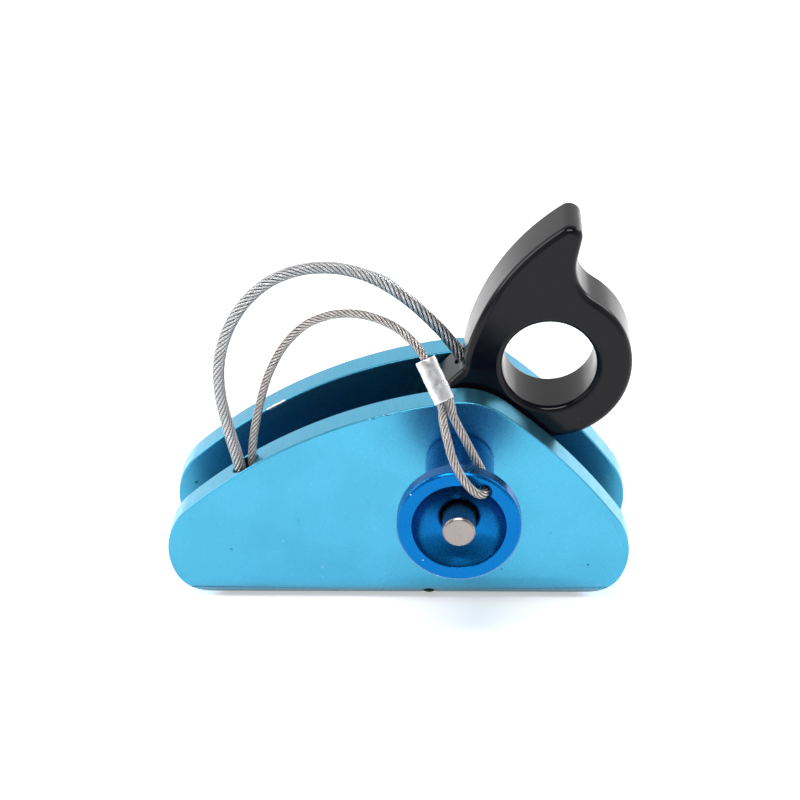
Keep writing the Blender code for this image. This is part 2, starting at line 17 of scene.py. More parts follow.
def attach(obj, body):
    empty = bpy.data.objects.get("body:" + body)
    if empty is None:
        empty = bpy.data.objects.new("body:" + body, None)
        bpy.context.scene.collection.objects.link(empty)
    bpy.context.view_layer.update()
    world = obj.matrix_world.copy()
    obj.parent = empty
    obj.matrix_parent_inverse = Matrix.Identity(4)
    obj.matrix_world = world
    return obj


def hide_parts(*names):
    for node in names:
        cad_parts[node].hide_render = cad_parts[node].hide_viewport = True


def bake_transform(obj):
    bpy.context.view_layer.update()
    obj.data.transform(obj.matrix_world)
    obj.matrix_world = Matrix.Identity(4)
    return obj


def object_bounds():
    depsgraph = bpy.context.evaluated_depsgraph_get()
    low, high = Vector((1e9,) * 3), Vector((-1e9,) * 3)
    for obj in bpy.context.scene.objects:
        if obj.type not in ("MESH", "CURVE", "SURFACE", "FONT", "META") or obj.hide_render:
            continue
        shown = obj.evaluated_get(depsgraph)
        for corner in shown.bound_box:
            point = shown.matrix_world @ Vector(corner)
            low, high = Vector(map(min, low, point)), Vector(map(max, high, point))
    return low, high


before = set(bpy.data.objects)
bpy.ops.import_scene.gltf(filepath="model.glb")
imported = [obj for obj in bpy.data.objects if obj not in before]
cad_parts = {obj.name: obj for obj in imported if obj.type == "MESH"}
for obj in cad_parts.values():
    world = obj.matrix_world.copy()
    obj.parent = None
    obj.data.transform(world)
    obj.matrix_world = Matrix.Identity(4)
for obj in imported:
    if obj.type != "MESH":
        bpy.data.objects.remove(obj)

CAD_LOW, CAD_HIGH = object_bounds()

MM = 0.001
MERGE_M = 1e-6
PIN_X = 13.4
PIN_Z = 35.6
CHEEK_MIDDLE_Y = -11.9
SHORTEST_LINE = 0.01
POINTS_PER_KNOT = 24
ORIGIN = (0.0, 0.0, 0.0)
ALONG_Y_FINE = (1.0, 0.06, 1.0)
ALONG_Y_COARSE = (1.0, 0.25, 1.0)
ALONG_Z = (1.0, 1.0, 0.25)
BARE_ALUMINIUM = (0.80, 0.82, 0.84)

log = logging.getLogger("ascender")

Point = tuple[float, float]
Place = tuple[float, float, float]
Colour = tuple[float, float, float]
Mark = tuple[Place, Place]


# ---- shader expressions --------------------------------------------------------------------


class Value:
    """A shader output that takes part in Python expressions."""

    def __init__(self, graph: "Graph", socket: bpy.types.NodeSocket) -> None:
        """Wrap one output socket of a graph."""
        self.graph = graph
        self.socket = socket

    def _math(self, operation: str, first: object, second: object = 0.0) -> "Value":
        """Add a Math node.

        Args:
            operation: Name of the Math operation.
            first: Value or number for the first input.
            second: Value or number for the second input.

        Returns:
            The node's result.
        """
        return self.graph.node("ShaderNodeMath", {"operation": operation}, {0: first, 1: second})

    def __add__(self, other: object) -> "Value":
        """Sum."""
        return self._math("ADD", self, other)

    __radd__ = __add__

    def __sub__(self, other: object) -> "Value":
        """Difference."""
        return self._math("SUBTRACT", self, other)

    def __rsub__(self, other: object) -> "Value":
        """Difference with the number first."""
        return self._math("SUBTRACT", other, self)

    def __mul__(self, other: object) -> "Value":
        """Product."""
        return self._math("MULTIPLY", self, other)

    __rmul__ = __mul__

    def sine(self) -> "Value":
        """Sine of the value, taken as radians."""
        return self._math("SINE", self)

    def power(self, exponent: float) -> "Value":
        """The value raised to a power."""
        return self._math("POWER", self, exponent)

    def largest(self, other: object) -> "Value":
        """The larger of two values."""
        return self._math("MAXIMUM", self, other)


class Graph:
    """The node tree of one material, with its Principled shader."""

    def __init__(self, name: str) -> None:
        """Make an empty material of that name."""
        self.material = bpy.data.materials.new(name)
        self.material.use_nodes = True
        self.tree = self.material.node_tree
        self.shader = self.tree.nodes["Principled BSDF"]

    def node(self, kind: str, settings: dict, inputs: dict, output: int | str = 0) -> Value:
        """Add any node.

        Args:
            kind: The node's type.
            settings: Properties that are set before its inputs.
            inputs: Values, numbers or vectors by input index or name.
            output: Index or name of the output that is wanted.

        Returns:
            That output.
        """
        made = self.tree.nodes.new(kind)
        for name, setting in settings.items():
            setattr(made, name, setting)
        for key, value in inputs.items():
            if isinstance(value, Value):
                self.tree.links.new(value.socket, made.inputs[key])
            else:
                made.inputs[key].default_value = value
        return Value(self, made.outputs[output])

    def place(self) -> Value:
        """Object coordinates in metres, which are the CAD frame's."""
        return self.node("ShaderNodeTexCoord", {}, {}, "Object")

    def along_piece(self) -> tuple[Value, Value]:
        """The piece's own UV: metres along it, and the share of the way round it."""
        coords = self.node("ShaderNodeUVMap", {"uv_map": "UVMap"}, {})
        split = self.node("ShaderNodeSeparateXYZ", {}, {0: coords})
        return split, Value(self, split.socket.node.outputs[1])

    def split(self, coords: Value) -> tuple[Value, Value, Value]:
        """X, Y and Z of a vector."""
        first = self.node("ShaderNodeSeparateXYZ", {}, {0: coords})
        outputs = first.socket.node.outputs
        return first, Value(self, outputs[1]), Value(self, outputs[2])

    def vector_math(self, operation: str, first: Value, second: object) -> Value:
        """Add a Vector Math node of two vectors."""
        return self.node("ShaderNodeVectorMath", {"operation": operation}, {0: first, 1: second})

    def moved(self, coords: Value, centre_mm: Place, scale: Place) -> Value:
        """Move coordinates to another centre and scale them per axis.

        Args:
            coords: Object coordinates.
            centre_mm: The new centre, in millimetres.
            scale: Factor for each axis.

        Returns:
            The new coordinates, in metres times the scale.
        """
        from_centre = self.vector_math("SUBTRACT", coords, metres(*centre_mm))
        return self.vector_math("MULTIPLY", from_centre, scale)

    def noise(
        self, coords: Value, size_mm: float, detail: float = 2.0, rough: float = 0.5
    ) -> Value:
        """Add a noise texture.

        Args:
            coords: Coordinates in metres.
            size_mm: About how wide its grains are.
            detail: Number of finer octaves.
            rough: Strength of the finer octaves.

        Returns:
            Noise from 0 to 1.
        """
        inputs = {
            "Vector": coords,
            "Scale": 1.0 / (size_mm * MM),
            "Detail": detail,
            "Roughness": rough,
        }
        return self.node("ShaderNodeTexNoise", {}, inputs, "Fac")

    def ramp(
        self, value: Value, low: float, high: float, low_out: float = 0.0, high_out: float = 1.0
    ) -> Value:
        """Smooth step of a value.

        Args:
            value: The value.
            low: Where the step starts.
            high: Where it ends.
            low_out: Result at and below low.
            high_out: Result at and above high.

        Returns:
            The step's result.
        """
        inputs = {0: value, 1: low, 2: high, 3: low_out, 4: high_out}
        return self.node("ShaderNodeMapRange", {"interpolation_type": "SMOOTHSTEP"}, inputs)

    def mix(self, share: object, first: object, second: object) -> Value:
        """First colour where share is 0, second where it is 1."""
        inputs = {0: share, 6: padded(first), 7: padded(second)}
        return self.node("ShaderNodeMix", {"data_type": "RGBA"}, inputs, 2)

    def length_of(self, coords: Value) -> Value:
        """Length of a vector."""
        return self.node("ShaderNodeVectorMath", {"operation": "LENGTH"}, {0: coords}, "Value")

    def spots(self, coords: Value, places_mm: Iterable[Mark], ragged: Value) -> Value:
        """Small ragged marks.

        Args:
            coords: Object coordinates.
            places_mm: For each mark its centre and its half sizes along X, Y and Z.
            ragged: Noise that breaks up the marks' edges.

        Returns:
            1 inside the marks and 0 outside.
        """
        total = None
        for centre, half in places_mm:
            scale = tuple(1.0 / (size * MM) for size in half)
            reach = self.length_of(self.moved(coords, centre, scale)) + ragged * 1.6
            mark = self.ramp(reach, 1.5, 1.75, 1.0, 0.0)
            total = mark if total is None else total.largest(mark)
        return total

    def marked(
        self,
        colour: object,
        coords: Value,
        marks: Sequence[Mark],
        mark_colour: Colour,
        ragged_mm: float = 0.5,
        share: float = 1.0,
    ) -> object:
        """Lay ragged marks over a colour.

        Args:
            colour: What the marks lie on.
            coords: Object coordinates.
            marks: The marks, or none.
            mark_colour: Their colour.
            ragged_mm: Grain of their edges.
            share: How far they cover the colour.

        Returns:
            The colour with its marks.
        """
        if not marks:
            return colour
        ragged = self.noise(coords, ragged_mm, 4.0, 0.7)
        return self.mix(self.spots(coords, marks, ragged) * share, colour, mark_colour)

    def bump(self, height: Value, distance_mm: float, strength: float = 1.0) -> Value:
        """Surface relief of a height from 0 to 1."""
        inputs = {"Height": height, "Distance": distance_mm * MM, "Strength": strength}
        return self.node("ShaderNodeBump", {}, inputs)

    def feed(self, **sockets: object) -> None:
        """Set or link the shader's sockets; an underscore stands for a space."""
        for key, value in sockets.items():
            socket = self.shader.inputs[key.replace("_", " ")]
            if isinstance(value, Value):
                self.tree.links.new(value.socket, socket)
            else:
                socket.default_value = value


def padded(colour: object) -> object:
    """A colour with its alpha, or the value itself."""
    return (*colour, 1.0) if isinstance(colour, tuple) and len(colour) == 3 else colour


# ---- finishes ------------------------------------------------------------------------------


@dataclass(frozen=True)
class Finish:
    """A surface finish: its constants, and the pattern that a subclass adds."""

    name: str
    colour: Colour
    roughness: float
    metallic: float

    def make(self) -> bpy.types.Material:
        """Build the material."""
        graph = Graph(self.name)
        graph.feed(Base_Color=padded(self.colour), Roughness=self.roughness, Metallic=self.metallic)
        graph.material.diffuse_color = (*self.colour, 1.0)
        self.dress(graph)
        return graph.material

    def uneven(self, graph: Graph, pattern: Value, span: Point, less: float, more: float) -> Value:
        """Vary the finish's roughness with a pattern.

        Args:
            graph: The material's graph.
            pattern: The pattern, from 0 to 1.
            span: Between which of its values the roughness changes.
            less: How far the roughness goes below the finish's own.
            more: How far it goes above.

        Returns:
            The roughness.
        """
        return graph.ramp(pattern, *span, self.roughness - less, self.roughness + more)

    def dress(self, graph: Graph) -> None:
        """Add the finish's own pattern, here a fine grain."""
        grain = graph.noise(graph.place(), 0.25, 3.0)
        graph.feed(
            Normal=graph.bump(grain, 0.01),
            Roughness=self.uneven(graph, grain, (0.3, 0.7), 0.05, 0.05),
        )


@dataclass(frozen=True)
class SatinAnodising(Finish):
    """Blasted and dyed aluminium: fine grain, bare nicks, and painted shade round the base corner.

    The height and depth fields say, in millimetres, between which heights and between which
    distances from the middle plane the painted shade fades.
    """

    bare: Colour = BARE_ALUMINIUM
    nicks: tuple[Mark, ...] = ()
    specks: tuple[Mark, ...] = ()
    speck_colour: Colour = (0.01, 0.03, 0.05)
    speck_share: float = 0.85
    cloud_shade: float = 0.93
    bare_share: float = 0.20
    # Painted shade round the base's long corners: how dark it makes the dye, and the heights and
    # distances from the middle plane where it fades.
    painted_base_shade: float = 0.22
    painted_shade_heights: Point = (0.8, 6.5)
    painted_shade_depths: Point = (7.5, 9.5)

    def dress(self, graph: Graph) -> None:
        """Cloudy dye, blasted grain, painted shade round the base corner, nicks down to bare metal
        and dark specks.
        """
        place = graph.place()
        cloud = graph.noise(place, 14.0, 2.0)
        grain = graph.noise(place, 0.16, 2.0)
        fine = graph.noise(place, 0.9, 4.0, 0.7)
        dye = graph.mix(graph.ramp(cloud, 0.35, 0.65), self.colour, self.shade(self.cloud_shade))
        dye = graph.mix(graph.ramp(fine, 0.60, 0.78) * self.bare_share, dye, self.bare)
        # Painted shade: the dye is darker round the base's long corners.
        dye = graph.mix(self.base_corner(graph, place), dye, self.shade(self.painted_base_shade))
        dye = graph.marked(dye, place, self.nicks, self.bare)
        dye = graph.marked(dye, place, self.specks, self.speck_colour, share=self.speck_share)
        graph.feed(
            Base_Color=dye,
            Roughness=self.uneven(graph, grain, (0.2, 0.8), 0.06, 0.06),
            Normal=graph.bump(grain + fine * 0.5, 0.010, 0.8),
        )

    def shade(self, share: float) -> Colour:
        """The dye's colour times a share."""
        return tuple(channel * share for channel in self.colour)

    def base_corner(self, graph: Graph, place: Value) -> Value:
        """How far a place is round the base's long corners, where shade is painted into the dye.

        Args:
            graph: The material's graph.
            place: Object coordinates.

        Returns:
            1 at the corners, 0 away from them.
        """
        _, depth, height = graph.split(place)
        lowest, highest = (size * MM for size in self.painted_shade_heights)
        inner, outer = (size * MM for size in self.painted_shade_depths)
        low = graph.ramp(height, lowest, highest, 1.0, 0.0).power(2.0)
        return low * graph.ramp((depth * depth).power(0.5), inner, outer)


@dataclass(frozen=True)
class MilledAnodising(Finish):
    """The sawn and milled rim of the shell: fine cutter marks across it under the dye."""

    bare: Colour = BARE_ALUMINIUM
    nicks: tuple[Mark, ...] = ()

    def dress(self, graph: Graph) -> None:
        """Lines across the rim, with a little tool chatter along it."""
        place = graph.place()
        lines = graph.noise(graph.moved(place, ORIGIN, ALONG_Y_FINE), 0.22, 3.0, 0.65)
        chatter = graph.noise(graph.moved(place, ORIGIN, ALONG_Y_COARSE), 2.4, 2.0)
        pale = tuple(min(1.0, channel * 1.05 + 0.01) for channel in self.colour)
        dye = graph.mix(graph.ramp(lines, 0.35, 0.72), self.colour, pale)
        graph.feed(
            Base_Color=graph.marked(dye, place, self.nicks, self.bare),
            Roughness=self.uneven(graph, chatter, (0.3, 0.7), 0.05, 0.06),
            Normal=graph.bump(chatter, 0.006, 0.6),
        )


@dataclass(frozen=True)
class TurnedMetal(Finish):
    """A lathe-turned face: fine rings about the pin axis."""

    ring_mm: float = 0.16
    ring_depth_mm: float = 0.012
    dark: Colour = (0.0, 0.0, 0.0)
    wear: tuple[Mark, ...] = ()
    bare: Colour = BARE_ALUMINIUM

    def dress(self, graph: Graph) -> None:
        """Rings and feed lines about the axis, cloudy dye and worn spots."""
        place = graph.place()
        about_axis = graph.moved(place, (PIN_X, 0.0, PIN_Z), (1.0, 0.0, 1.0))
        radius = graph.length_of(about_axis)
        _, depth, _ = graph.split(place)
        wander = graph.noise(place, 3.0, 2.0)
        turn = 2 * math.pi / (self.ring_mm * MM)
        rings = (radius * turn + depth * (turn * 0.9) + wander * 5.0).sine() * 0.5 + 0.5
        fine = graph.noise(place, 0.3, 3.0, 0.6)
        cloud = graph.ramp(graph.noise(place, 6.0, 2.0), 0.35, 0.65)
        dye = graph.mix(cloud * 0.35, self.colour, self.dark)
        graph.feed(
            Base_Color=graph.marked(dye, place, self.wear, self.bare, ragged_mm=0.4),
            Roughness=self.uneven(graph, fine, (0.3, 0.75), 0.05, 0.07),
            Normal=graph.bump(rings, self.ring_depth_mm, 0.7),
        )


@dataclass(frozen=True)
class BlackCoating(Finish):
    """Smooth black coating with faint orange peel and a rare dust speck."""

    def dress(self, graph: Graph) -> None:
        """Orange peel and dust."""
        place = graph.place()
        peel = graph.noise(place, 0.7, 2.0)
        dust = graph.ramp(graph.noise(place, 0.8, 1.0), 0.82, 0.85)
        colour = graph.mix(dust * 0.5, self.colour, (0.10, 0.10, 0.11))
        rubbed = graph.noise(place, 9.0, 4.0, 0.6)
        graph.feed(
            Base_Color=colour,
            Roughness=self.uneven(graph, rubbed, (0.35, 0.65), 0.04, 0.06),
            Normal=graph.bump(peel, 0.006, 0.6),
            Specular_IOR_Level=0.2,
        )


@dataclass(frozen=True)
class CrimpedMetal(Finish):
    """Soft bare aluminium, squeezed and scuffed by the crimping tool."""

    def dress(self, graph: Graph) -> None:
        """Die dents, drawn lines and scuffs."""
        place = graph.place()
        dents = graph.noise(place, 1.2, 2.0, 0.5)
        drawn = graph.noise(graph.moved(place, ORIGIN, ALONG_Z), 0.22, 3.0, 0.6)
        scuffs = graph.ramp(drawn, 0.40, 0.70) * 0.5
        grey = tuple(channel * 0.9 for channel in self.colour)
        graph.feed(
            Base_Color=graph.mix(scuffs, self.colour, grey),
            Roughness=self.uneven(graph, dents, (0.3, 0.7), 0.04, 0.06),
            Normal=graph.bump(dents, 0.03, 0.6),
        )


@dataclass(frozen=True)
class StrandWire(Finish):
    """A strand of fine steel wires; the pattern follows the strand's own length and girth."""

    wires: int = 6
    lay_mm: float = 5.0
    # Dark colour for tarnish, and for the painted shade between the wires and between the strands.
    tarnish_and_gap_shade: Colour = (0.035, 0.032, 0.030)

    def dress(self, graph: Graph) -> None:
        """Wires twisted the other way in the strand, with painted shade as dark lines between the
        wires and between the strands.
        """
        along, around = graph.along_piece()
        wires_round = 2 * math.pi * self.wires
        turns = around * wires_round - along * (wires_round / (self.lay_mm * MM))
        crown = turns.sine() * 0.5 + 0.5
        outward = graph.node("ShaderNodeAttribute", {"attribute_name": "outward"}, {}, "Fac")
        tarnish = graph.noise(graph.place(), 0.9, 3.0, 0.7)
        steel = graph.mix(graph.ramp(tarnish, 0.35, 0.75) * 0.3, self.colour, self.tarnish_and_gap_shade)
        # Painted shade: darker in the valleys between wires and on the strands' inner sides,
        # towards the rope's middle.
        wire_gap_shade = graph.ramp(crown, 0.0, 0.50, 0.80, 0.0)
        strand_gap_shade = graph.ramp(outward, 0.83, 0.965, 1.0, 0.0)
        graph.feed(
            Base_Color=graph.mix(wire_gap_shade.largest(strand_gap_shade), steel, self.tarnish_and_gap_shade),
            Roughness=self.uneven(graph, tarnish, (0.3, 0.7), 0.06, 0.10),
            Normal=graph.bump(crown, 0.03, 0.8),
        )


@dataclass(frozen=True)
class ClearSleeve(Finish):
    """Clear plastic sleeve with a faintly wavy surface."""

    def dress(self, graph: Graph) -> None:
        """A faint waviness."""
        wave = graph.noise(graph.place(), 1.2, 3.0, 0.6)
        graph.feed(
            Transmission_Weight=1.0,
            IOR=1.25,
            Roughness=self.uneven(graph, wave, (0.3, 0.7), 0.0, 0.03),
            Normal=graph.bump(wave, 0.012, 0.5),
        )


class Slot(Enum):
    """The record's material slots, by name."""

    SHELL = "cyan_anodised"
    KNOB = "deep_blue_anodised"
    CAM = "black_coating"
    STEEL = "stainless_steel"
    OXIDE = "black_oxide"
    BARE = "raw_aluminium"
    ROPE = "wire_rope"


SHELL_NICKS = (
    ((-25.8, 8.5, 37.6), (0.8, 0.6, 0.45)),
    ((-26.7, 8.5, 37.1), (0.9, 0.6, 0.60)),
    ((-27.8, 8.5, 36.5), (0.9, 0.8, 0.70)),
    ((-28.9, 8.5, 35.8), (0.8, 0.6, 0.50)),
    ((-0.6, -15.25, 47.5), (0.14, 0.2, 0.08)),
    ((-1.6, -15.25, 47.25), (0.10, 0.2, 0.07)),
    ((-2.6, -15.25, 47.0), (0.20, 0.2, 0.07)),
    ((-4.2, -15.25, 46.55), (0.10, 0.2, 0.07)),
    ((-5.6, -15.25, 46.1), (0.16, 0.2, 0.07)),
    ((-7.6, -15.25, 45.5), (0.10, 0.2, 0.07)),
    ((3.9, -15.25, 48.55), (0.12, 0.2, 0.07)),
)
SHELL_SPECKS = (
    ((-45.9, 8.5, 17.0), (0.4, 0.6, 0.4)),
    ((41.2, -15.3, 10.2), (0.28, 0.5, 0.28)),
    ((22.4, -15.3, 9.0), (0.2, 0.5, 0.2)),
    ((-1.8, -15.27, 46.95), (0.8, 0.25, 0.10)),
    ((-4.9, -15.27, 46.1), (0.6, 0.25, 0.09)),
    ((-36.2, -15.3, 13.9), (0.45, 0.5, 0.14)),
    ((-21.4, -15.3, 21.3), (0.12, 0.5, 0.22)),
    ((33.0, -15.3, 18.2), (0.14, 0.5, 0.14)),
)
KNOB_WEAR = (
    ((3.6, -42.0, 43.2), (0.24, 0.4, 0.12)),
    ((1.5, -41.8, 31.0), (0.14, 0.3, 0.22)),
    ((9.0, -41.9, 24.0), (0.26, 0.3, 0.12)),
    ((6.0, -42.0, 27.8), (0.12, 0.3, 0.12)),
)


class Finishes:
    """Every material, made once."""

    def __init__(self) -> None:
        """Build the materials."""
        self.shell = SatinAnodising(
            "cyan_anodised_face", (0.068, 0.350, 0.530), 0.30, 1.0,
            nicks=SHELL_NICKS, specks=SHELL_SPECKS,
        ).make()
        self.rim = MilledAnodising(
            "cyan_anodised_rim", (0.10, 0.44, 0.65), 0.32, 0.92, nicks=SHELL_NICKS
        ).make()
        self.knob = TurnedMetal(
            "deep_blue_turned", (0.0025, 0.125, 0.37), 0.27, 0.97,
            ring_mm=0.34, ring_depth_mm=0.0015, dark=(0.002, 0.10, 0.36), wear=KNOB_WEAR,
        ).make()
        self.button = TurnedMetal(
            "turned_steel", (0.262, 0.240, 0.234), 0.30, 1.0,
            ring_mm=0.26, ring_depth_mm=0.008, dark=(0.30, 0.27, 0.25),
        ).make()
        self.cam = BlackCoating("satin_black_coating", (0.0022, 0.0022, 0.0042), 0.18, 0.0).make()
        self.steel = Finish("ground_steel", (0.56, 0.54, 0.52), 0.28, 1.0).make()
        self.bronze = Finish("machined_bronze", (0.55, 0.38, 0.18), 0.38, 1.0).make()
        self.oxide = Finish("black_oxide", (0.02, 0.02, 0.022), 0.42, 0.8).make()
        self.bare = CrimpedMetal("crimped_aluminium", (0.80, 0.80, 0.82), 0.30, 1.0).make()
        self.thick_strand = StrandWire(
            "grey_strands", (0.86, 0.86, 0.87), 0.32, 0.95, wires=5, lay_mm=2.8
        ).make()
        self.thin_strand = StrandWire(
            "warm_grey_strands", (0.84, 0.78, 0.75), 0.38, 0.90, wires=6, lay_mm=3.6
        ).make()
        self.sleeve = ClearSleeve("clear_sleeve", (0.96, 0.965, 0.97), 0.02, 0.0).make()


# ---- modelling with operators --------------------------------------------------------------


def metres(*values: float) -> Vector:
    """A vector in metres from millimetres."""
    return Vector([value * MM for value in values])


def on_circle(centre: Point, radius: float, degrees: float) -> Point:
    """Find a point of a circle.

    Args:
        centre: The circle's centre.
        radius: Its radius.
        degrees: Direction from the centre, counter-clockwise from across.

    Returns:
        The point.
    """
    angle = math.radians(degrees)
    return (centre[0] + radius * math.cos(angle), centre[1] + radius * math.sin(angle))


def bearing(origin: Point, target: Point) -> float:
    """Direction from origin to target, from 0 to 360 degrees."""
    return math.degrees(math.atan2(target[1] - origin[1], target[0] - origin[0])) % 360.0


def take_up(obj: bpy.types.Object) -> None:
    """Make an object the only one that operators act on."""
    bpy.ops.object.select_all(action="DESELECT")
    obj.select_set(True)
    bpy.context.view_layer.objects.active = obj


def edit(obj: bpy.types.Object) -> None:
    """Open a mesh for editing with all of it selected."""
    take_up(obj)
    bpy.ops.object.mode_set(mode="EDIT")
    bpy.ops.mesh.select_mode(type="VERT")
    bpy.ops.mesh.select_all(action="SELECT")


def put_down() -> None:
    """Leave edit mode."""
    bpy.ops.object.mode_set(mode="OBJECT")


def apply_modifier(obj: bpy.types.Object, kind: str, settings: dict) -> None:
    """Add a modifier with its settings and apply it.

    Args:
        obj: The mesh object.
        kind: The modifier's type.
        settings: Its properties.
    """
    take_up(obj)
    bpy.ops.object.modifier_add(type=kind)
    modifier = obj.modifiers[-1]
    for name, setting in settings.items():
        setattr(modifier, name, setting)
    bpy.ops.object.modifier_apply(modifier=modifier.name)


def carve(obj: bpy.types.Object, cutter: bpy.types.Object, operation: str = "DIFFERENCE") -> None:
    """Cut an object with another, which is used up.

    Args:
        obj: The object to cut.
        cutter: What cuts it.
        operation: Name of the Boolean operation.
    """
    apply_modifier(obj, "BOOLEAN", {"operation": operation, "solver": "EXACT", "object": cutter})
    bpy.data.objects.remove(cutter, do_unlink=True)


def soften(obj: bpy.types.Object, width: float, segments: int = 2, degrees: float = 30.0) -> None:
    """Round every edge that is sharper than an angle.

    Args:
        obj: The object.
        width: Width of the rounding, in millimetres.
        segments: Faces across it.
        degrees: The angle.
    """
    settings = {
        "width": width * MM,
        "segments": segments,
        "limit_method": "ANGLE",
        "angle_limit": math.radians(degrees),
        "use_clamp_overlap": False,
        "miter_outer": "MITER_SHARP",
    }
    apply_modifier(obj, "BEVEL", settings)


def shade(obj: bpy.types.Object, degrees: float = 32.0) -> None:
    """Shade an object smooth, with flat faces kept flat.

    Args:
        obj: The object.
        degrees: Edges sharper than this stay sharp.
    """
    take_up(obj)
    bpy.ops.object.shade_smooth_by_angle(angle=math.radians(degrees))
    apply_modifier(obj, "WEIGHTED_NORMAL", {"keep_sharp": True, "weight": 80})


def coat(obj: bpy.types.Object, material: bpy.types.Material) -> None:
    """Give an object one material."""
    obj.data.materials.clear()
    obj.data.materials.append(material)


def coat_where(obj: bpy.types.Object, material: bpy.types.Material, test: Callable) -> None:
    """Give one more material to some faces.

    Args:
        obj: The object.
        material: The material.
        test: Whether a face of that centre and normal takes it.
    """
    obj.data.materials.append(material)
    index = len(obj.data.materials) - 1
    for face in obj.data.polygons:
        if test(face.center, face.normal):
            face.material_index = index


@dataclass(frozen=True)
class DrawingPlane:
    """A plane to draw in: its origin in millimetres and its two directions."""

    origin: Place
    across: Place
    up: Place

    def at(self, u: float, v: float) -> Vector:
        """The place in metres of a point of the drawing."""
        return metres(*self.origin) + Vector(self.across) * (u * MM) + Vector(self.up) * (v * MM)

    def normal(self) -> Vector:
        """The direction that the drawing is seen from."""
        return Vector(self.across).cross(Vector(self.up))


class Pen:
    """Draws an outline with extruded lines and spun arcs, then gives it a body."""

    def __init__(self, name: str, plane: DrawingPlane, start: Point) -> None:
        """Put the pen down.

        Args:
            name: Name of the object that is drawn.
            plane: The plane to draw in.
            start: First point, in millimetres.
        """
        bpy.ops.object.select_all(action="DESELECT")
        bpy.ops.mesh.primitive_plane_add(size=MM)
        self.obj = bpy.context.object
        self.obj.name = name
        self.obj.data.name = name
        self.plane = plane
        self.here = start
        edit(self.obj)
        bpy.ops.mesh.merge(type="CENTER")
        bpy.ops.transform.translate(value=plane.at(*start))

    def line(self, *points: Point) -> "Pen":
        """Draw straight lines on to more points."""
        for point in points:
            step = self.plane.at(*point) - self.plane.at(*self.here)
            if step.length > SHORTEST_LINE * MM:
                bpy.ops.mesh.extrude_vertices_move(TRANSFORM_OT_translate={"value": step})
                self.here = point
        return self

    def arc(
        self, centre: Point, radius: float, start: float, end: float, step: float = 4.0
    ) -> "Pen":
        """Draw a line to the start of an arc, then the arc.

        Args:
            centre: The arc's centre, in millimetres.
            radius: Its radius.
            start: Where it starts, in degrees.
            end: Where it ends.
            step: Most degrees that one of its lines may span.

        Returns:
            The pen.
        """
        self.line(on_circle(centre, radius, start))
        bpy.ops.mesh.spin(
            steps=max(2, math.ceil(abs(end - start) / step)),
            angle=math.radians(end - start),
            center=self.plane.at(*centre),
            axis=-self.plane.normal(),
        )
        self.here = on_circle(centre, radius, end)
        return self

    def bow(self, end: Point, sag: float, step: float = 3.0) -> "Pen":
        """Draw an arc to a point, bulging to the right of travel.

        Args:
            end: The point, in millimetres.
            sag: How far it bulges; below 0 it bulges to the left.
            step: Most degrees that one of its lines may span.

        Returns:
            The pen.
        """
        a, b = Vector(self.here), Vector(end)
        half = (b - a).length / 2
        radius = (half * half + sag * sag) / (2 * abs(sag))
        along = (b - a).normalized()
        right = Vector((along.y, -along.x)) * math.copysign(1.0, sag)
        centre = (a + b) / 2 + right * (abs(sag) - radius)
        start_angle, end_angle = bearing(centre, a), bearing(centre, b)
        turn = (end_angle - start_angle + 180.0) % 360.0 - 180.0
        return self.arc(tuple(centre), radius, start_angle, start_angle + turn, step)

    def plate(self, *parts: float) -> bpy.types.Object:
        """Close the outline and give it a thickness, half of it to each side of the plane.

        Args:
            parts: The thickness in millimetres, or its parts, which leave seams between them.

        Returns:
            The solid.
        """
        bpy.ops.mesh.select_all(action="SELECT")
        bpy.ops.mesh.remove_doubles(threshold=MERGE_M)
        bpy.ops.mesh.edge_face_add()
        bpy.ops.transform.translate(value=self.plane.normal() * (-sum(parts) / 2 * MM))
        for part in parts:
            bpy.ops.mesh.extrude_region_move(
                TRANSFORM_OT_translate={"value": self.plane.normal() * (part * MM)}
            )
        bpy.ops.mesh.select_all(action="SELECT")
        bpy.ops.mesh.normals_make_consistent(inside=False)
        put_down()
        return self.obj

    def turn(self, steps: int = 128) -> bpy.types.Object:
        """Spin the outline about the plane's up axis, with its across as the radius.

        Args:
            steps: Number of faces round.

        Returns:
            The solid.
        """
        bpy.ops.mesh.select_all(action="SELECT")
        bpy.ops.mesh.spin(
            steps=steps, angle=2 * math.pi, center=self.plane.at(0, 0), axis=Vector(self.plane.up)
        )
        bpy.ops.mesh.select_all(action="SELECT")
        bpy.ops.mesh.remove_doubles(threshold=MERGE_M)
        bpy.ops.mesh.normals_make_consistent(inside=False)
        put_down()
        return self.obj


FACE_ON = DrawingPlane((0, 0, 0), (1, 0, 0), (0, 0, 1))
END_ON = DrawingPlane((0, 0, 0), (0, 1, 0), (0, 0, 1))
PIN_PROFILE = DrawingPlane((PIN_X, 0, PIN_Z), (1, 0, 0), (0, -1, 0))


def drill(name: str, radius: float, start: Place, end: Place, sides: int = 64) -> bpy.types.Object:
    """Make a round cutter between two places.

    Args:
        name: Its name.
        radius: Its radius, in millimetres.
        start: Where it starts, in millimetres.
        end: Where it ends.
        sides: Number of faces round it.

    Returns:
        The cutter.
    """
    a, b = metres(*start), metres(*end)
    bpy.ops.object.select_all(action="DESELECT")
    bpy.ops.mesh.primitive_cylinder_add(
        vertices=sides,
        radius=radius * MM,
        depth=(b - a).length,
        location=(a + b) / 2,
        rotation=(b - a).to_track_quat("Z", "Y").to_euler(),
    )
    made = bpy.context.object
    made.name = name
    bpy.ops.object.transform_apply(location=True, rotation=True, scale=True)
    return made


# ---- tethers -------------------------------------------------------------------------------


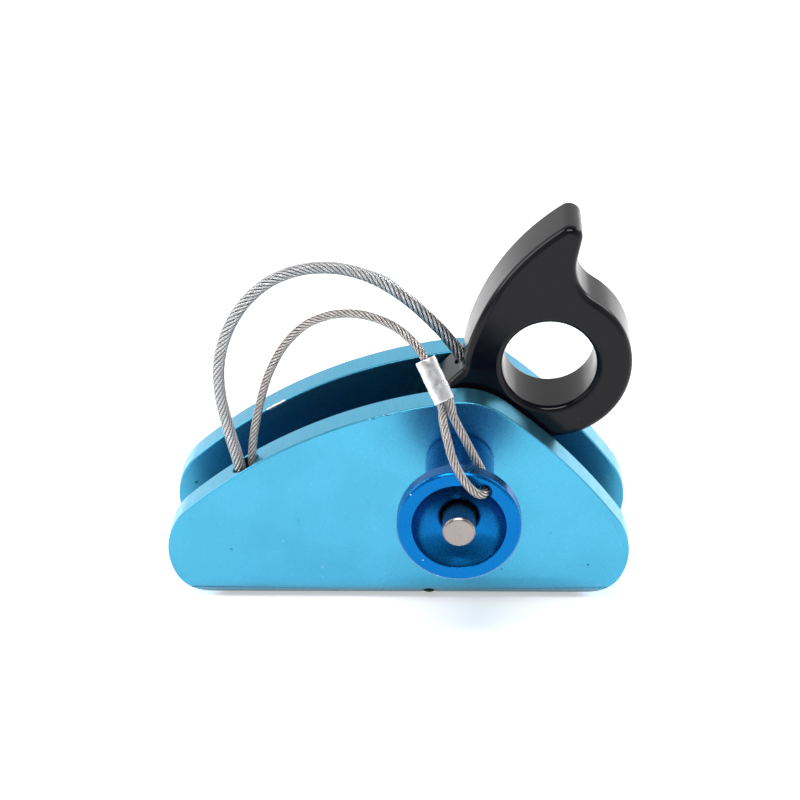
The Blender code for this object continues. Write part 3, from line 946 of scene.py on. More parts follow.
def smooth_route(route: Sequence[Place], step: float) -> list[Vector]:
    """Evenly spaced points on the smooth curve through a route's own points.

    Args:
        route: The points, in millimetres.
        step: Distance between the new points, in millimetres.

    Returns:
        The new points, in millimetres.
    """
    knots = [Vector(point) for point in route]
    ends = [2 * knots[0] - knots[1], *knots, 2 * knots[-1] - knots[-2]]
    fine = []
    for p0, p1, p2, p3 in zip(ends, ends[1:], ends[2:], ends[3:]):
        for i in range(POINTS_PER_KNOT):
            t = i / POINTS_PER_KNOT
            square = 2 * p0 - 5 * p1 + 4 * p2 - p3
            cube = 3 * p1 - p0 - 3 * p2 + p3
            fine.append(0.5 * (2 * p1 + (p2 - p0) * t + square * t * t + cube * t ** 3))
    fine.append(knots[-1])
    lengths = [0.0]
    for a, b in zip(fine, fine[1:]):
        lengths.append(lengths[-1] + (b - a).length)
    count = round(lengths[-1] / step)
    spaced = []
    j = 0
    for i in range(count + 1):
        wanted = lengths[-1] * i / count
        while j < len(lengths) - 2 and lengths[j + 1] < wanted:
            j += 1
        share = (wanted - lengths[j]) / max(lengths[j + 1] - lengths[j], 1e-9)
        spaced.append(fine[j].lerp(fine[j + 1], min(1.0, share)))
    return spaced


def eased(value: float, low: float, high: float) -> float:
    """Smooth step from 0 at low to 1 at high."""
    share = min(1.0, max(0.0, (value - low) / (high - low)))
    return share * share * (3 - 2 * share)


def sleeve_frames(points: Sequence[Vector]) -> list[tuple[Vector, Vector]]:
    """Find two cross directions at each point that don't twist along the path.

    Args:
        points: The path's points.

    Returns:
        The two directions at each point.
    """
    tangents = []
    for i in range(len(points)):
        before, after = points[max(0, i - 1)], points[min(len(points) - 1, i + 1)]
        tangents.append((after - before).normalized())
    side = tangents[0].cross(Vector((0.3, 1.0, 0.2))).normalized()
    frames = []
    for tangent in tangents:
        side = (side - tangent * side.dot(tangent)).normalized()
        frames.append((side, tangent.cross(side)))
    return frames


@dataclass
class TubeMaker:
    """Collects round tubes in one mesh.

    The UV map holds the metres along a tube and the share of the way round it. The outward
    attribute holds how near a point is to the outside of the rope, with 1 the furthest out.
    """

    name: str
    sides: int
    places: list[Vector] = field(default_factory=list)
    faces: list[tuple[int, ...]] = field(default_factory=list)
    uvs: list[tuple[float, float]] = field(default_factory=list)
    outward: list[float] = field(default_factory=list)

    def add(
        self, points: Sequence[Vector], radii: Sequence[float], centres: Sequence[Vector]
    ) -> None:
        """Add a tube.

        Args:
            points: Its own middle line, in millimetres.
            radii: Its radius at each point, in millimetres.
            centres: The middle line of the rope that it is part of.
        """
        frames = sleeve_frames(points)
        first = len(self.places)
        run = 0.0
        runs = []
        for i, (point, radius, (side, other)) in enumerate(zip(points, radii, frames)):
            if i:
                run += (point - points[i - 1]).length * MM
            runs.append(run)
            for k in range(self.sides):
                angle = 2 * math.pi * k / self.sides
                place = point + (side * math.cos(angle) + other * math.sin(angle)) * radius
                self.places.append(place * MM)
                furthest = (point - centres[i]).length + radius
                self.outward.append((place - centres[i]).length / furthest)
        for i in range(len(points) - 1):
            for k in range(self.sides):
                after = (k + 1) % self.sides
                low, high = first + i * self.sides, first + (i + 1) * self.sides
                self.faces.append((low + k, low + after, high + after, high + k))
                around = (k / self.sides, (k + 1) / self.sides)
                self.uvs += [(runs[i], around[0]), (runs[i], around[1]),
                             (runs[i + 1], around[1]), (runs[i + 1], around[0])]
        last = first + (len(points) - 1) * self.sides
        self.faces.append(tuple(reversed(range(first, first + self.sides))))
        self.faces.append(tuple(range(last, last + self.sides)))
        self.uvs += [(0.0, 0.0)] * self.sides + [(run, 0.0)] * self.sides

    def make(self, material: bpy.types.Material) -> bpy.types.Object:
        """Turn the tubes into one mesh object."""
        mesh = bpy.data.meshes.new(self.name)
        mesh.from_pydata(self.places, [], self.faces)
        layer = mesh.uv_layers.new(name="UVMap")
        layer.data.foreach_set("uv", [number for uv in self.uvs for number in uv])
        mesh.attributes.new("outward", "FLOAT", "POINT").data.foreach_set("value", self.outward)
        mesh.shade_smooth()
        mesh.materials.append(material)
        obj = bpy.data.objects.new(self.name, mesh)
        bpy.context.scene.collection.objects.link(obj)
        return obj


@dataclass
class Lay:
    """How a rope's strands lie at one end of it, in millimetres."""

    strand: float
    helix: float
    pitch: float
    sleeve: float


@dataclass
class Tether:
    """A wire rope in a clear sleeve that joins the shell to another body.

    The strands lie as near says up to the first run in change, and as far says past the
    second. swelling is where the sleeve swells, how far to each side, and how much.
    blend_from and blend_to are not used.
    rope's shape follows the shell before blend_from and the other body past blend_to.
    """

    name: str
    body: str
    route: list[Place]
    diameter: float
    near: Lay
    far: Lay
    change: tuple[float, float]
    blend_from: Place
    blend_to: Place
    replaces: tuple[str, ...]
    swelling: tuple[float, float, float] = (0.0, 1.0, 0.0)
    strands: int = 6
    strand_sides: int = 10
    sleeve_sides: int = 24
    core_share: float = 0.9
    step: float = 0.45

    def centre_line(self) -> list[Vector]:
        """The rope's middle, in millimetres."""
        return smooth_route(self.route, self.step)

    def lay_at(self, run: float) -> Lay:
        """The strands' lie at a distance along the rope."""
        share = eased(run, *self.change)
        pairs = zip(vars(self.near).values(), vars(self.far).values())
        return Lay(*[a + (b - a) * share for a, b in pairs])

    def build(self, strand_finish: bpy.types.Material, sleeve_finish: bpy.types.Material) -> None:
        """Make the strands and the sleeve, and hide the CAD pieces that they replace.

        Args:
            strand_finish: The strands' material.
            sleeve_finish: The sleeve's material.
        """
        centres = self.centre_line()
        strands = self.lay_strands(centres, strand_finish)
        sleeve = self.pour_sleeve(centres, sleeve_finish)
        for piece in (strands, sleeve):
            start, end = metres(*self.blend_from), metres(*self.blend_to)
            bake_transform(piece)
        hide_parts(*self.replaces)
        path = [point * MM for point in centres]
        length = sum((b - a).length for a, b in zip(path, path[1:]))
        log.info("%s: %.1f mm long", self.name, length / MM)

    def lay_strands(
        self, centres: Sequence[Vector], finish: bpy.types.Material
    ) -> bpy.types.Object:
        """Twist the strands round a core.

        Args:
            centres: The rope's middle line, in millimetres.
            finish: The strands' material.

        Returns:
            The strands and the core as one object.
        """
        frames = sleeve_frames(centres)
        maker = TubeMaker(f"{self.name}_strands", self.strand_sides)
        core = [self.lay_at(i * self.step).strand * self.core_share for i in range(len(centres))]
        maker.add(centres, core, [centre + Vector((1.0, 0.0, 0.0)) for centre in centres])
        for k in range(self.strands):
            angle = 2 * math.pi * k / self.strands
            points, radii = [], []
            for i, (centre, (side, other)) in enumerate(zip(centres, frames)):
                lay = self.lay_at(i * self.step)
                out = side * math.cos(angle) + other * math.sin(angle)
                points.append(centre + out * lay.helix)
                radii.append(lay.strand)
                angle += 2 * math.pi * self.step / lay.pitch
            maker.add(points, radii, centres)
        return maker.make(finish)

    def pour_sleeve(
        self, centres: Sequence[Vector], finish: bpy.types.Material
    ) -> bpy.types.Object:
        """Cover the strands with a clear sleeve, swollen in one place.

        Args:
            centres: The rope's middle line, in millimetres.
            finish: The sleeve's material.

        Returns:
            The sleeve.
        """
        middle, reach, height = self.swelling
        radii = []
        for i in range(len(centres)):
            run = i * self.step
            swell = height * math.exp(-((run - middle) / reach) ** 2)
            radii.append(self.lay_at(run).sleeve + swell)
        maker = TubeMaker(f"{self.name}_sleeve", self.sleeve_sides)
        maker.add(centres, radii, centres)
        return maker.make(finish)


CAM_ROUTE = [
    (-33.7, -11.9, 27.3), (-33.7, -11.9, 31.2), (-34.4, -11.9, 35.4), (-35.9, -11.9, 42.0),
    (-37.3, -11.8, 50.2), (-37.2, -11.5, 57.7), (-35.3, -10.9, 64.4), (-31.7, -10.0, 70.4),
    (-26.6, -8.8, 74.8), (-20.8, -7.5, 76.9), (-15.2, -6.3, 77.1), (-9.6, -5.0, 75.8),
    (-3.0, -3.4, 72.4), (3.2, -2.0, 66.9), (8.4, -0.9, 61.0), (11.4, -0.3, 56.9),
    (13.5, 0.0, 53.6), (15.9, 0.0, 49.5),
]
PIN_ROUTE = [
    (-31.1, -11.9, 27.3), (-31.1, -11.9, 31.0), (-31.1, -11.9, 35.0), (-30.4, -12.0, 41.0),
    (-28.9, -12.4, 48.3), (-26.6, -13.8, 56.2), (-23.1, -15.8, 63.6), (-18.6, -17.9, 69.3),
    (-13.8, -20.0, 72.6), (-9.0, -22.2, 74.3), (-4.5, -24.3, 74.6), (0.2, -26.6, 73.6),
    (3.8, -28.6, 71.4), (6.2, -30.1, 68.6), (7.9, -32.1, 64.4),
    (9.9, -34.8, 59.4), (10.2, -37.6, 57.9), (11.1, -41.2, 55.4), (12.3, -43.2, 51.8),
    (14.4, -43.8, 47.6), (16.8, -43.8, 44.7), (18.4, -43.1, 44.0), (18.7, -41.3, 44.0),
    (18.7, -39.2, 44.0), (18.6, -37.4, 44.4), (17.8, -36.5, 46.2), (16.0, -36.1, 49.8),
    (13.9, -35.8, 54.1), (12.2, -35.2, 57.6), (11.7, -34.8, 60.0), (9.9, -32.7, 64.4),
]


def build_tethers(finishes: Finishes) -> None:
    """Make the two tethers."""
    Tether(
        name="cam_tether",
        body="cam",
        route=CAM_ROUTE,
        diameter=2.6,
        near=Lay(strand=0.33, helix=0.74, pitch=8.6, sleeve=1.3),
        far=Lay(strand=0.38, helix=0.82, pitch=12.5, sleeve=1.32),
        change=(68.0, 92.0),
        swelling=(78.0, 3.0, 0.22),
        blend_from=(-12.0, 0.0, 0.0),
        blend_to=(11.5, 0.0, 0.0),
        replaces=("cam_tether",),
        strands=7,
    ).build(finishes.thick_strand, finishes.sleeve)
    Tether(
        name="pin_tether",
        body="pin",
        route=PIN_ROUTE,
        diameter=1.8,
        near=Lay(strand=0.25, helix=0.48, pitch=7.2, sleeve=0.9),
        far=Lay(strand=0.25, helix=0.48, pitch=7.2, sleeve=0.9),
        change=(68.0, 90.0),
        blend_from=(10.2, -9.5, 12.1),
        blend_to=(32.4, -30.3, 38.6),
        replaces=("pin_tether", "pin_tether_loop"),
        step=0.4,
    ).build(finishes.thin_strand, finishes.sleeve)


# ---- shell ---------------------------------------------------------------------------------


@dataclass
class Shell:
    """U-shaped shell with milled rims, bores and a set screw hole.

    pocket is the tethers' pocket: its X, radius and floor height. screw is the screw hole:
    its X, Y, radius and top height. Seams in the long faces keep the edge rounding even.
    """

    length: float = 100.0
    width: float = 30.6
    height: float = 50.1
    wall: float = 6.8
    end_radius: float = 13.6
    crest_x: float = 13.8
    crest_radius: float = 15.1
    left_flank: float = 107.0
    right_flank: float = 118.0
    base_corner: float = 7.2
    inner_corner: float = 2.0
    bore: float = 4.7
    pocket: tuple[float, float, float] = (-32.5, 2.8, 22.0)
    screw: tuple[float, float, float, float] = (6.6, -12.15, 2.0, 8.3)
    edge: float = 0.34
    edge_segments: int = 3
    edge_degrees: float = 14.0
    overcut: float = 2.0
    end_seam: float = 4.5
    screw_seam: float = 4.0
    floor_normal: float = 0.9
    rim_normal: float = 0.2
    touching: float = 0.2

    def build(self, finishes: Finishes) -> None:
        """Model the shell and put it on its body."""
        shell = self.side_view()
        carve(shell, self.cross_section(), "INTERSECT")
        carve(shell, drill("pin_bore", self.bore, (PIN_X, -20, PIN_Z), (PIN_X, 20, PIN_Z), 96))
        x, radius, floor = self.pocket
        low, high = (x, CHEEK_MIDDLE_Y, floor), (x, CHEEK_MIDDLE_Y, self.height)
        carve(shell, drill("pocket", radius, low, high))
        soften(shell, self.edge, self.edge_segments, self.edge_degrees)
        x, y, radius, top = self.screw
        carve(shell, drill("screw_hole", radius, (x, y, -self.overcut), (x, y, top)))
        shade(shell)
        coat(shell, finishes.shell)
        coat_where(shell, finishes.rim, self.is_milled)
        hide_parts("shell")
        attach(shell, "shell")
        log.info("shell: %d faces", len(shell.data.polygons))

    def is_milled(self, centre: Vector, normal: Vector) -> bool:
        """Tell whether a face is on the milled rim, and not on the channel's floor or the base.

        Args:
            centre: The face's centre, in metres.
            normal: Its normal.

        Returns:
            Whether it is.
        """
        near_floor = abs(centre.z - self.wall * MM) < self.touching * MM
        on_floor = normal.z > self.floor_normal and near_floor
        on_base = centre.z < self.touching * MM
        return abs(normal.y) < self.rim_normal and not on_floor and not on_base

    def side_view(self) -> bpy.types.Object:
        """The cheeks' outline, as wide as the shell and a little more."""
        left = (-self.length / 2 + self.end_radius, self.end_radius)
        right = (self.length / 2 - self.end_radius, self.end_radius)
        crest = (self.crest_x, self.height - self.crest_radius)
        rise = bridging_centre(left, self.end_radius, crest, self.crest_radius, self.left_flank)
        fall = bridging_centre(crest, self.crest_radius, right, self.end_radius, self.right_flank)
        pen = Pen("shell_looks", FACE_ON, (right[0], 0.0))
        pen.arc(right, self.end_radius, -90.0, bearing(fall, right), 3.0)
        pen.arc(fall, self.right_flank, bearing(fall, right), bearing(fall, crest), 0.8)
        pen.arc(crest, self.crest_radius, bearing(fall, crest), bearing(rise, crest), 2.5)
        pen.arc(rise, self.left_flank, bearing(rise, crest), bearing(rise, left), 0.8)
        pen.arc(left, self.end_radius, bearing(rise, left), 270.0, 3.0)
        pen.line((right[0], 0.0))
        return pen.plate(self.width + self.overcut)

    def cross_section(self) -> bpy.types.Object:
        """The U of floor and two cheeks, past the shell's ends, with its seams."""
        outer = self.width / 2
        inner = outer - self.wall
        top = self.height + self.overcut
        corner, inside, wall = self.base_corner, self.inner_corner, self.wall
        pen = Pen("section", END_ON, (-outer, top))
        pen.arc((-outer + corner, corner), corner, 180.0, 270.0, 5.0)
        pen.arc((outer - corner, corner), corner, 270.0, 360.0, 5.0)
        pen.line((outer, top), (inner, top))
        pen.arc((inner - inside, wall + inside), inside, 0.0, -90.0, 10.0)
        pen.arc((-inner + inside, wall + inside), inside, -90.0, -180.0, 10.0)
        pen.line((-inner, top), (-outer, top))
        reach, screw_x = self.length / 2, self.screw[0]
        seams = (
            -reach - self.overcut,
            self.end_seam - reach,
            screw_x - self.screw_seam,
            screw_x + self.screw_seam,
            reach - self.end_seam,
            reach + self.overcut,
        )
        return pen.plate(*[b - a for a, b in zip(seams, seams[1:])])


def bridging_centre(
    left: Point, left_radius: float, right: Point, right_radius: float, radius: float
) -> Point:
    """Find the centre of the large arc that passes over two circles and touches both.

    Args:
        left: Centre of the left circle.
        left_radius: Its radius.
        right: Centre of the right circle.
        right_radius: Its radius.
        radius: The arc's radius.

    Returns:
        The arc's centre.
    """
    along = Vector(right) - Vector(left)
    to_left = radius - left_radius
    to_right = radius - right_radius
    reach = (to_left ** 2 - to_right ** 2 + along.length ** 2) / (2 * along.length)
    drop = math.sqrt(to_left ** 2 - reach ** 2)
    unit = along.normalized()
    return tuple(Vector(left) + unit * reach + Vector((unit.y, -unit.x)) * drop)


# ---- cam -----------------------------------------------------------------------------------


@dataclass
class Cam:
    """Black cam: ring with its eye, fin, toe, and a toothed lobe.

    teeth holds the degrees of the first and last tooth, their number and their depth. The
    throat joins the nose to the ring, and the saddle joins the ring to the fin's tip.
    """

    thickness: float = 14.5
    fillet: float = 1.7
    eye: Point = (32.4, 54.5)
    eye_radius: float = 10.0
    eye_fillet: float = 1.3
    ring_radius: float = 17.6
    hub_radius: float = 10.8
    lobe_rise: float = 9.8
    lobe_start: float = 190.0
    nose_at: float = 327.0
    nose_round: float = 2.5
    toe_root: Point = (14.3, 53.7)
    toe_root_round: float = 3.2
    toe_middle: Point = (9.6, 49.0)
    fin_foot: Point = (14.25, 55.6)
    toe_end: Point = (6.9, 46.3)
    toe_round: float = 2.1
    toe_meets_hub: float = 150.0
    teeth: tuple[float, float, int, float] = (222.0, 318.0, 11, 0.9)
    throat_radius: float = 4.0
    throat_x: float = 30.7
    tip: Point = (36.3, 83.9)
    tip_radius: float = 2.6
    tip_end: float = 128.0
    fin_sag: float = 3.5
    saddle_radius: float = 9.0
    saddle_x: float = 37.7
    bore: float = 6.45
    hole_mouth: Point = (13.4, 53.6)
    hole_direction: Point = (0.518, -0.855)
    hole_radius: float = 2.0
    hole_depth: float = 9.6
    hole_overcut: float = 4.0
    smooth_degrees: float = 38.0
    tooth_overcut: float = 3.0
    tooth_lift: float = 0.02
    tooth_flat: float = 0.08
    tooth_root: float = 0.35

    def build(self, finishes: Finishes) -> None:
        """Model the cam and put it on its body."""
        cam = self.side_view()
        self.round_edges(cam)
        carve(cam, self.eye_cutter())
        carve(cam, self.tooth_cutter())
        carve(cam, drill("hub_bore", self.bore, (PIN_X, -12, PIN_Z), (PIN_X, 12, PIN_Z), 96))
        mouth, end = self.in_hole(-self.hole_overcut), self.in_hole(self.hole_depth)
        carve(cam, drill("tether_hole", self.hole_radius, mouth, end, 48))
        shade(cam, self.smooth_degrees)
        coat(cam, finishes.cam)
        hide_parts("cam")
        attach(cam, "cam")
        log.info("cam: %d faces", len(cam.data.polygons))

    def lobe_point(self, degrees: float, depth: float = 0.0) -> Point:
        """Find a point on the hub or the lobe, which grows towards the nose.

        Args:
            degrees: Direction from the pin's axis.
            depth: How far inside the surface it is, in millimetres.

        Returns:
            The point.
        """
        share = max(0.0, (degrees - self.lobe_start) / (self.nose_at - self.lobe_start))
        radius = self.hub_radius + self.lobe_rise * share * share * (3 - 2 * share) - depth
        return on_circle((PIN_X, PIN_Z), radius, degrees)

    def side_view(self) -> bpy.types.Object:
        """The cam's outline with a smooth lobe, as thick as the cam."""
        throat_x = self.throat_x + self.throat_radius
        reach = self.ring_radius + self.throat_radius
        throat = (throat_x, self.eye[1] - math.sqrt(reach ** 2 - (throat_x - self.eye[0]) ** 2))
        saddle_x = self.saddle_x + self.saddle_radius
        reach = self.ring_radius + self.saddle_radius
        saddle = (saddle_x, self.eye[1] + math.sqrt(reach ** 2 - (saddle_x - self.eye[0]) ** 2))
        nose = (self.throat_x, self.lobe_point(self.nose_at)[1])
        last = self.teeth[1]
        pen = Pen("cam_looks", FACE_ON, self.toe_middle)
        meets_hub = self.lobe_point(self.toe_meets_hub)
        draw_corner(pen, self.toe_root, self.toe_end, meets_hub, self.toe_round)
        pen.line(*[self.lobe_point(d) for d in range(int(self.toe_meets_hub), int(last) + 1, 3)])
        draw_corner(pen, self.lobe_point(last), nose, (self.throat_x, throat[1]), self.nose_round)
        pen.arc(throat, self.throat_radius, 180.0, bearing(throat, self.eye), 8.0)
        ring_from, ring_to = bearing(self.eye, throat), bearing(self.eye, saddle)
        pen.arc(self.eye, self.ring_radius, ring_from - 360.0, ring_to, 3.0)
        span = math.dist(saddle, self.tip)
        lean = math.degrees(math.acos((self.saddle_radius + self.tip_radius) / span))
        leave = bearing(saddle, self.tip) + lean
        pen.arc(saddle, self.saddle_radius, bearing(saddle, self.eye), leave, 4.0)
        pen.arc(self.tip, self.tip_radius, leave - 180.0, self.tip_end, 10.0)
        pen.bow(self.fin_foot, self.fin_sag, 1.2)
        draw_corner(pen, self.fin_foot, self.toe_root, self.toe_end, self.toe_root_round)
        pen.line(self.toe_middle)
        return pen.plate(self.thickness)

    def round_edges(self, cam: bpy.types.Object) -> None:
        """Fillet the long edges round both faces."""
        half = self.thickness / 2 * MM
        edit(cam)
        bpy.ops.mesh.select_mode(type="EDGE")
        bpy.ops.mesh.select_all(action="DESELECT")
        put_down()
        points = cam.data.vertices
        for edge in cam.data.edges:
            depths = [points[i].co.y for i in edge.vertices]
            edge.select = abs(abs(sum(depths)) / 2 - half) < 1e-5
        bpy.ops.object.mode_set(mode="EDIT")
        bpy.ops.mesh.bevel(offset=self.fillet * MM, segments=7, profile=0.5, clamp_overlap=False)
        put_down()

    def eye_cutter(self) -> bpy.types.Object:
        """The eye's bore, flared at both ends so that its edges come out round."""
        half, soft, radius = self.thickness / 2, self.eye_fillet, self.eye_radius
        plane = DrawingPlane((self.eye[0], 0, self.eye[1]), (1, 0, 0), (0, -1, 0))
        flare = radius + soft
        pen = Pen("eye_cutter", plane, (0.0, -half - 2.0))
        pen.line((flare + 0.5, -half - 2.0), (flare + 0.5, -half - 0.3))
        pen.arc((flare, -half + soft), soft, 268.0, 180.0, 11.0)
        pen.arc((flare, half - soft), soft, 180.0, 92.0, 11.0)
        pen.line((flare + 0.5, half + 0.3), (flare + 0.5, half + 2.0), (0.0, half + 2.0))
        return pen.turn(144)

    def tooth_cutter(self) -> bpy.types.Object:
        """A saw-toothed bar that stands outside the lobe."""
        first, last, count, depth = self.teeth
        pitch = (last - first) / count
        lift = -self.tooth_lift
        pen = Pen("tooth_cutter", FACE_ON, self.lobe_point(first, lift))
        for i in range(count):
            start = first + i * pitch
            pen.line(self.lobe_point(start + self.tooth_flat * pitch, lift))
            pen.line(self.lobe_point(start + self.tooth_root * pitch, depth))
            pen.line(self.lobe_point(start + pitch, lift))
        back = [last - i * (last - first) / 24 for i in range(25)]
        pen.line(*[self.lobe_point(degrees, -self.tooth_overcut) for degrees in back])
        pen.line(self.lobe_point(first, lift))
        return pen.plate(self.thickness + 2.0)

    def in_hole(self, depth: float) -> Place:
        """A place on the axis of the tether's hole."""
        (x, z), (dx, dz) = self.hole_mouth, self.hole_direction
        return (x + dx * depth, 0.0, z + dz * depth)


def draw_corner(pen: Pen, before: Point, corner: Point, after: Point, radius: float) -> None:
    """Draw an arc that rounds the corner between two straight lines.

    Args:
        pen: The pen.
        before: A point on the first line.
        corner: Where the lines meet.
        after: A point on the second line.
        radius: The arc's radius.
    """
    b = Vector(corner)
    u = (Vector(before) - b).normalized()
    v = (Vector(after) - b).normalized()
    half = u.angle(v) / 2
    centre = b + (u + v).normalized() * (radius / math.sin(half))
    start = bearing(centre, b + u * (radius / math.tan(half)))
    end = bearing(centre, b + v * (radius / math.tan(half)))
    turn = (end - start + 180.0) % 360.0 - 180.0
    pen.arc(tuple(centre), radius, start, start + turn, max(6.0, abs(turn) / 10))


# ---- ball-lock pin -------------------------------------------------------------------------


@dataclass
class PinKnob:
    """Blue handle of the pin: stem, flange and dished face."""

    shaft: float = 4.7
    stem: float = 7.25
    stem_rear: float = 15.6
    flange: float = 12.75
    rear: float = 38.0
    front: float = 42.1
    chamfer: float = 0.5
    dish: float = 9.6
    dish_depth: float = 4.3
    dish_sag: float = 0.7
    button_bore: float = 3.85
    hole: Point = (18.7, 44.0)
    hole_radius: float = 1.4
    edge_round: float = 0.13
    stem_fillet: float = 0.6
    stem_chamfer: Point = (0.45, 0.55)
    shaft_seat: float = 24.0
    button_chamfer: float = 0.4
    lip: Point = (0.12, 0.3)

    def build(self, finishes: Finishes) -> None:
        """Model the knob and put it on its body."""
        front, rear, edge = self.front, self.rear, self.chamfer
        floor = front - self.dish_depth
        pen = Pen("pin_knob_looks", PIN_PROFILE, (self.flange - edge, front))
        fillet, seat, bore = self.stem_fillet, self.shaft_seat, self.button_bore
        across, along = self.stem_chamfer
        lip_across, lip_along = self.lip
        pen.line((self.flange, front - edge), (self.flange, rear + edge))
        pen.line((self.flange - edge, rear), (self.stem + fillet, rear))
        pen.arc((self.stem + fillet, rear - fillet), fillet, 90.0, 180.0, 15.0)
        pen.line((self.stem, self.stem_rear + along), (self.stem - across, self.stem_rear))
        pen.line((self.shaft, self.stem_rear), (self.shaft, seat), (bore, seat))
        pen.line((bore, floor - self.button_chamfer), (bore + self.button_chamfer, floor))
        pen.bow((self.dish, front - lip_along), self.dish_sag, 3.0)
        pen.line((self.dish + lip_across, front), (self.flange - edge, front))
        knob = pen.turn(160)
        x, z = self.hole
        eye = drill("tether_eye", self.hole_radius, (x, -front - 4, z), (x, -rear + 4, z), 48)
        carve(knob, eye)
        soften(knob, self.edge_round, 2, 24.0)
        shade(knob)
        coat(knob, finishes.knob)
        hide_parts("pin_knob")
        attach(knob, "pin")
        log.info("pin knob: %d faces", len(knob.data.polygons))


@dataclass
class PinShaft:
    """Steel shaft with cross holes for the lock balls, and the balls themselves."""

    radius: float = 4.5
    bore: float = 2.2
    front: float = 23.7
    rear: float = -20.6
    ball_plane: float = -17.4
    ball_radius: float = 1.6
    ball_offset: float = 3.8

    def build(self, finishes: Finishes) -> None:
        """Model the shaft and the balls and put them on their bodies."""
        radius, rear = self.radius, self.rear
        pen = Pen("pin_shaft_looks", PIN_PROFILE, (radius - 0.3, self.front))
        pen.line((radius, self.front - 0.3), (radius, self.ball_plane + 3.0))
        pen.line((radius - 0.12, self.ball_plane + 2.85), (radius - 0.12, self.ball_plane + 2.55))
        pen.line((radius, self.ball_plane + 2.4), (radius, rear + 0.9))
        pen.arc((radius - 0.9, rear + 0.9), 0.9, 360.0, 270.0, 12.0)
        pen.line((self.bore + 0.3, rear), (self.bore, rear + 0.3), (self.bore, self.front))
        pen.line((radius - 0.3, self.front))
        shaft = pen.turn(96)
        y = -self.ball_plane
        low, high = (PIN_X, y, PIN_Z - radius - 2), (PIN_X, y, PIN_Z + radius + 2)
        carve(shaft, drill("ball_holes", self.ball_radius + 0.15, low, high, 48))
        soften(shaft, 0.08, 2, 32.0)
        shade(shaft)
        coat(shaft, finishes.button)
        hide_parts("pin_shaft")
        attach(shaft, "pin")
        for side, name in ((1, "upper"), (-1, "lower")):
            self.add_ball(side, name, finishes)
        log.info("pin shaft: %d faces", len(shaft.data.polygons))

    def add_ball(self, side: int, name: str, finishes: Finishes) -> None:
        """Spin one lock ball from a half circle.

        Args:
            side: 1 for the upper ball, -1 for the lower.
            name: "upper" or "lower".
            finishes: The materials.
        """
        centre = (PIN_X, -self.ball_plane, PIN_Z + side * self.ball_offset)
        plane = DrawingPlane(centre, (1, 0, 0), (0, 0, 1))
        pen = Pen(f"lock_ball_{name}_looks", plane, (0.0, -self.ball_radius))
        pen.arc((0.0, 0.0), self.ball_radius, -90.0, 90.0, 7.5)
        ball = pen.turn(48)
        shade(ball, 60.0)
        coat(ball, finishes.steel)
        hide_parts(f"lock_ball_{name}")
        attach(ball, f"{name}_ball")


@dataclass
class PushButton:
    """Steel release button with a turned face."""

    radius: float = 3.4
    front: float = 44.3
    rear: float = 32.0
    bore: float = 2.05
    spindle_front: float = 38.2
    chamfer: float = 0.45

    def build(self, finishes: Finishes) -> None:
        """Model the button and put it on its body."""
        radius, front, edge = self.radius, self.front, self.chamfer
        pen = Pen("push_button_looks", PIN_PROFILE, (0.0, front - 0.06))
        pen.line((0.35, front - 0.06), (0.5, front), (radius - edge, front), (radius, front - edge))
        pen.line((radius, self.rear), (self.bore, self.rear), (self.bore, self.spindle_front))
        pen.line((0.0, self.spindle_front))
        button = pen.turn(128)
        soften(button, 0.08, 2, 30.0)
        shade(button)
        coat(button, finishes.button)
        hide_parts("push_button")
        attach(button, "button")
        log.info("push button: %d faces", len(button.data.polygons))


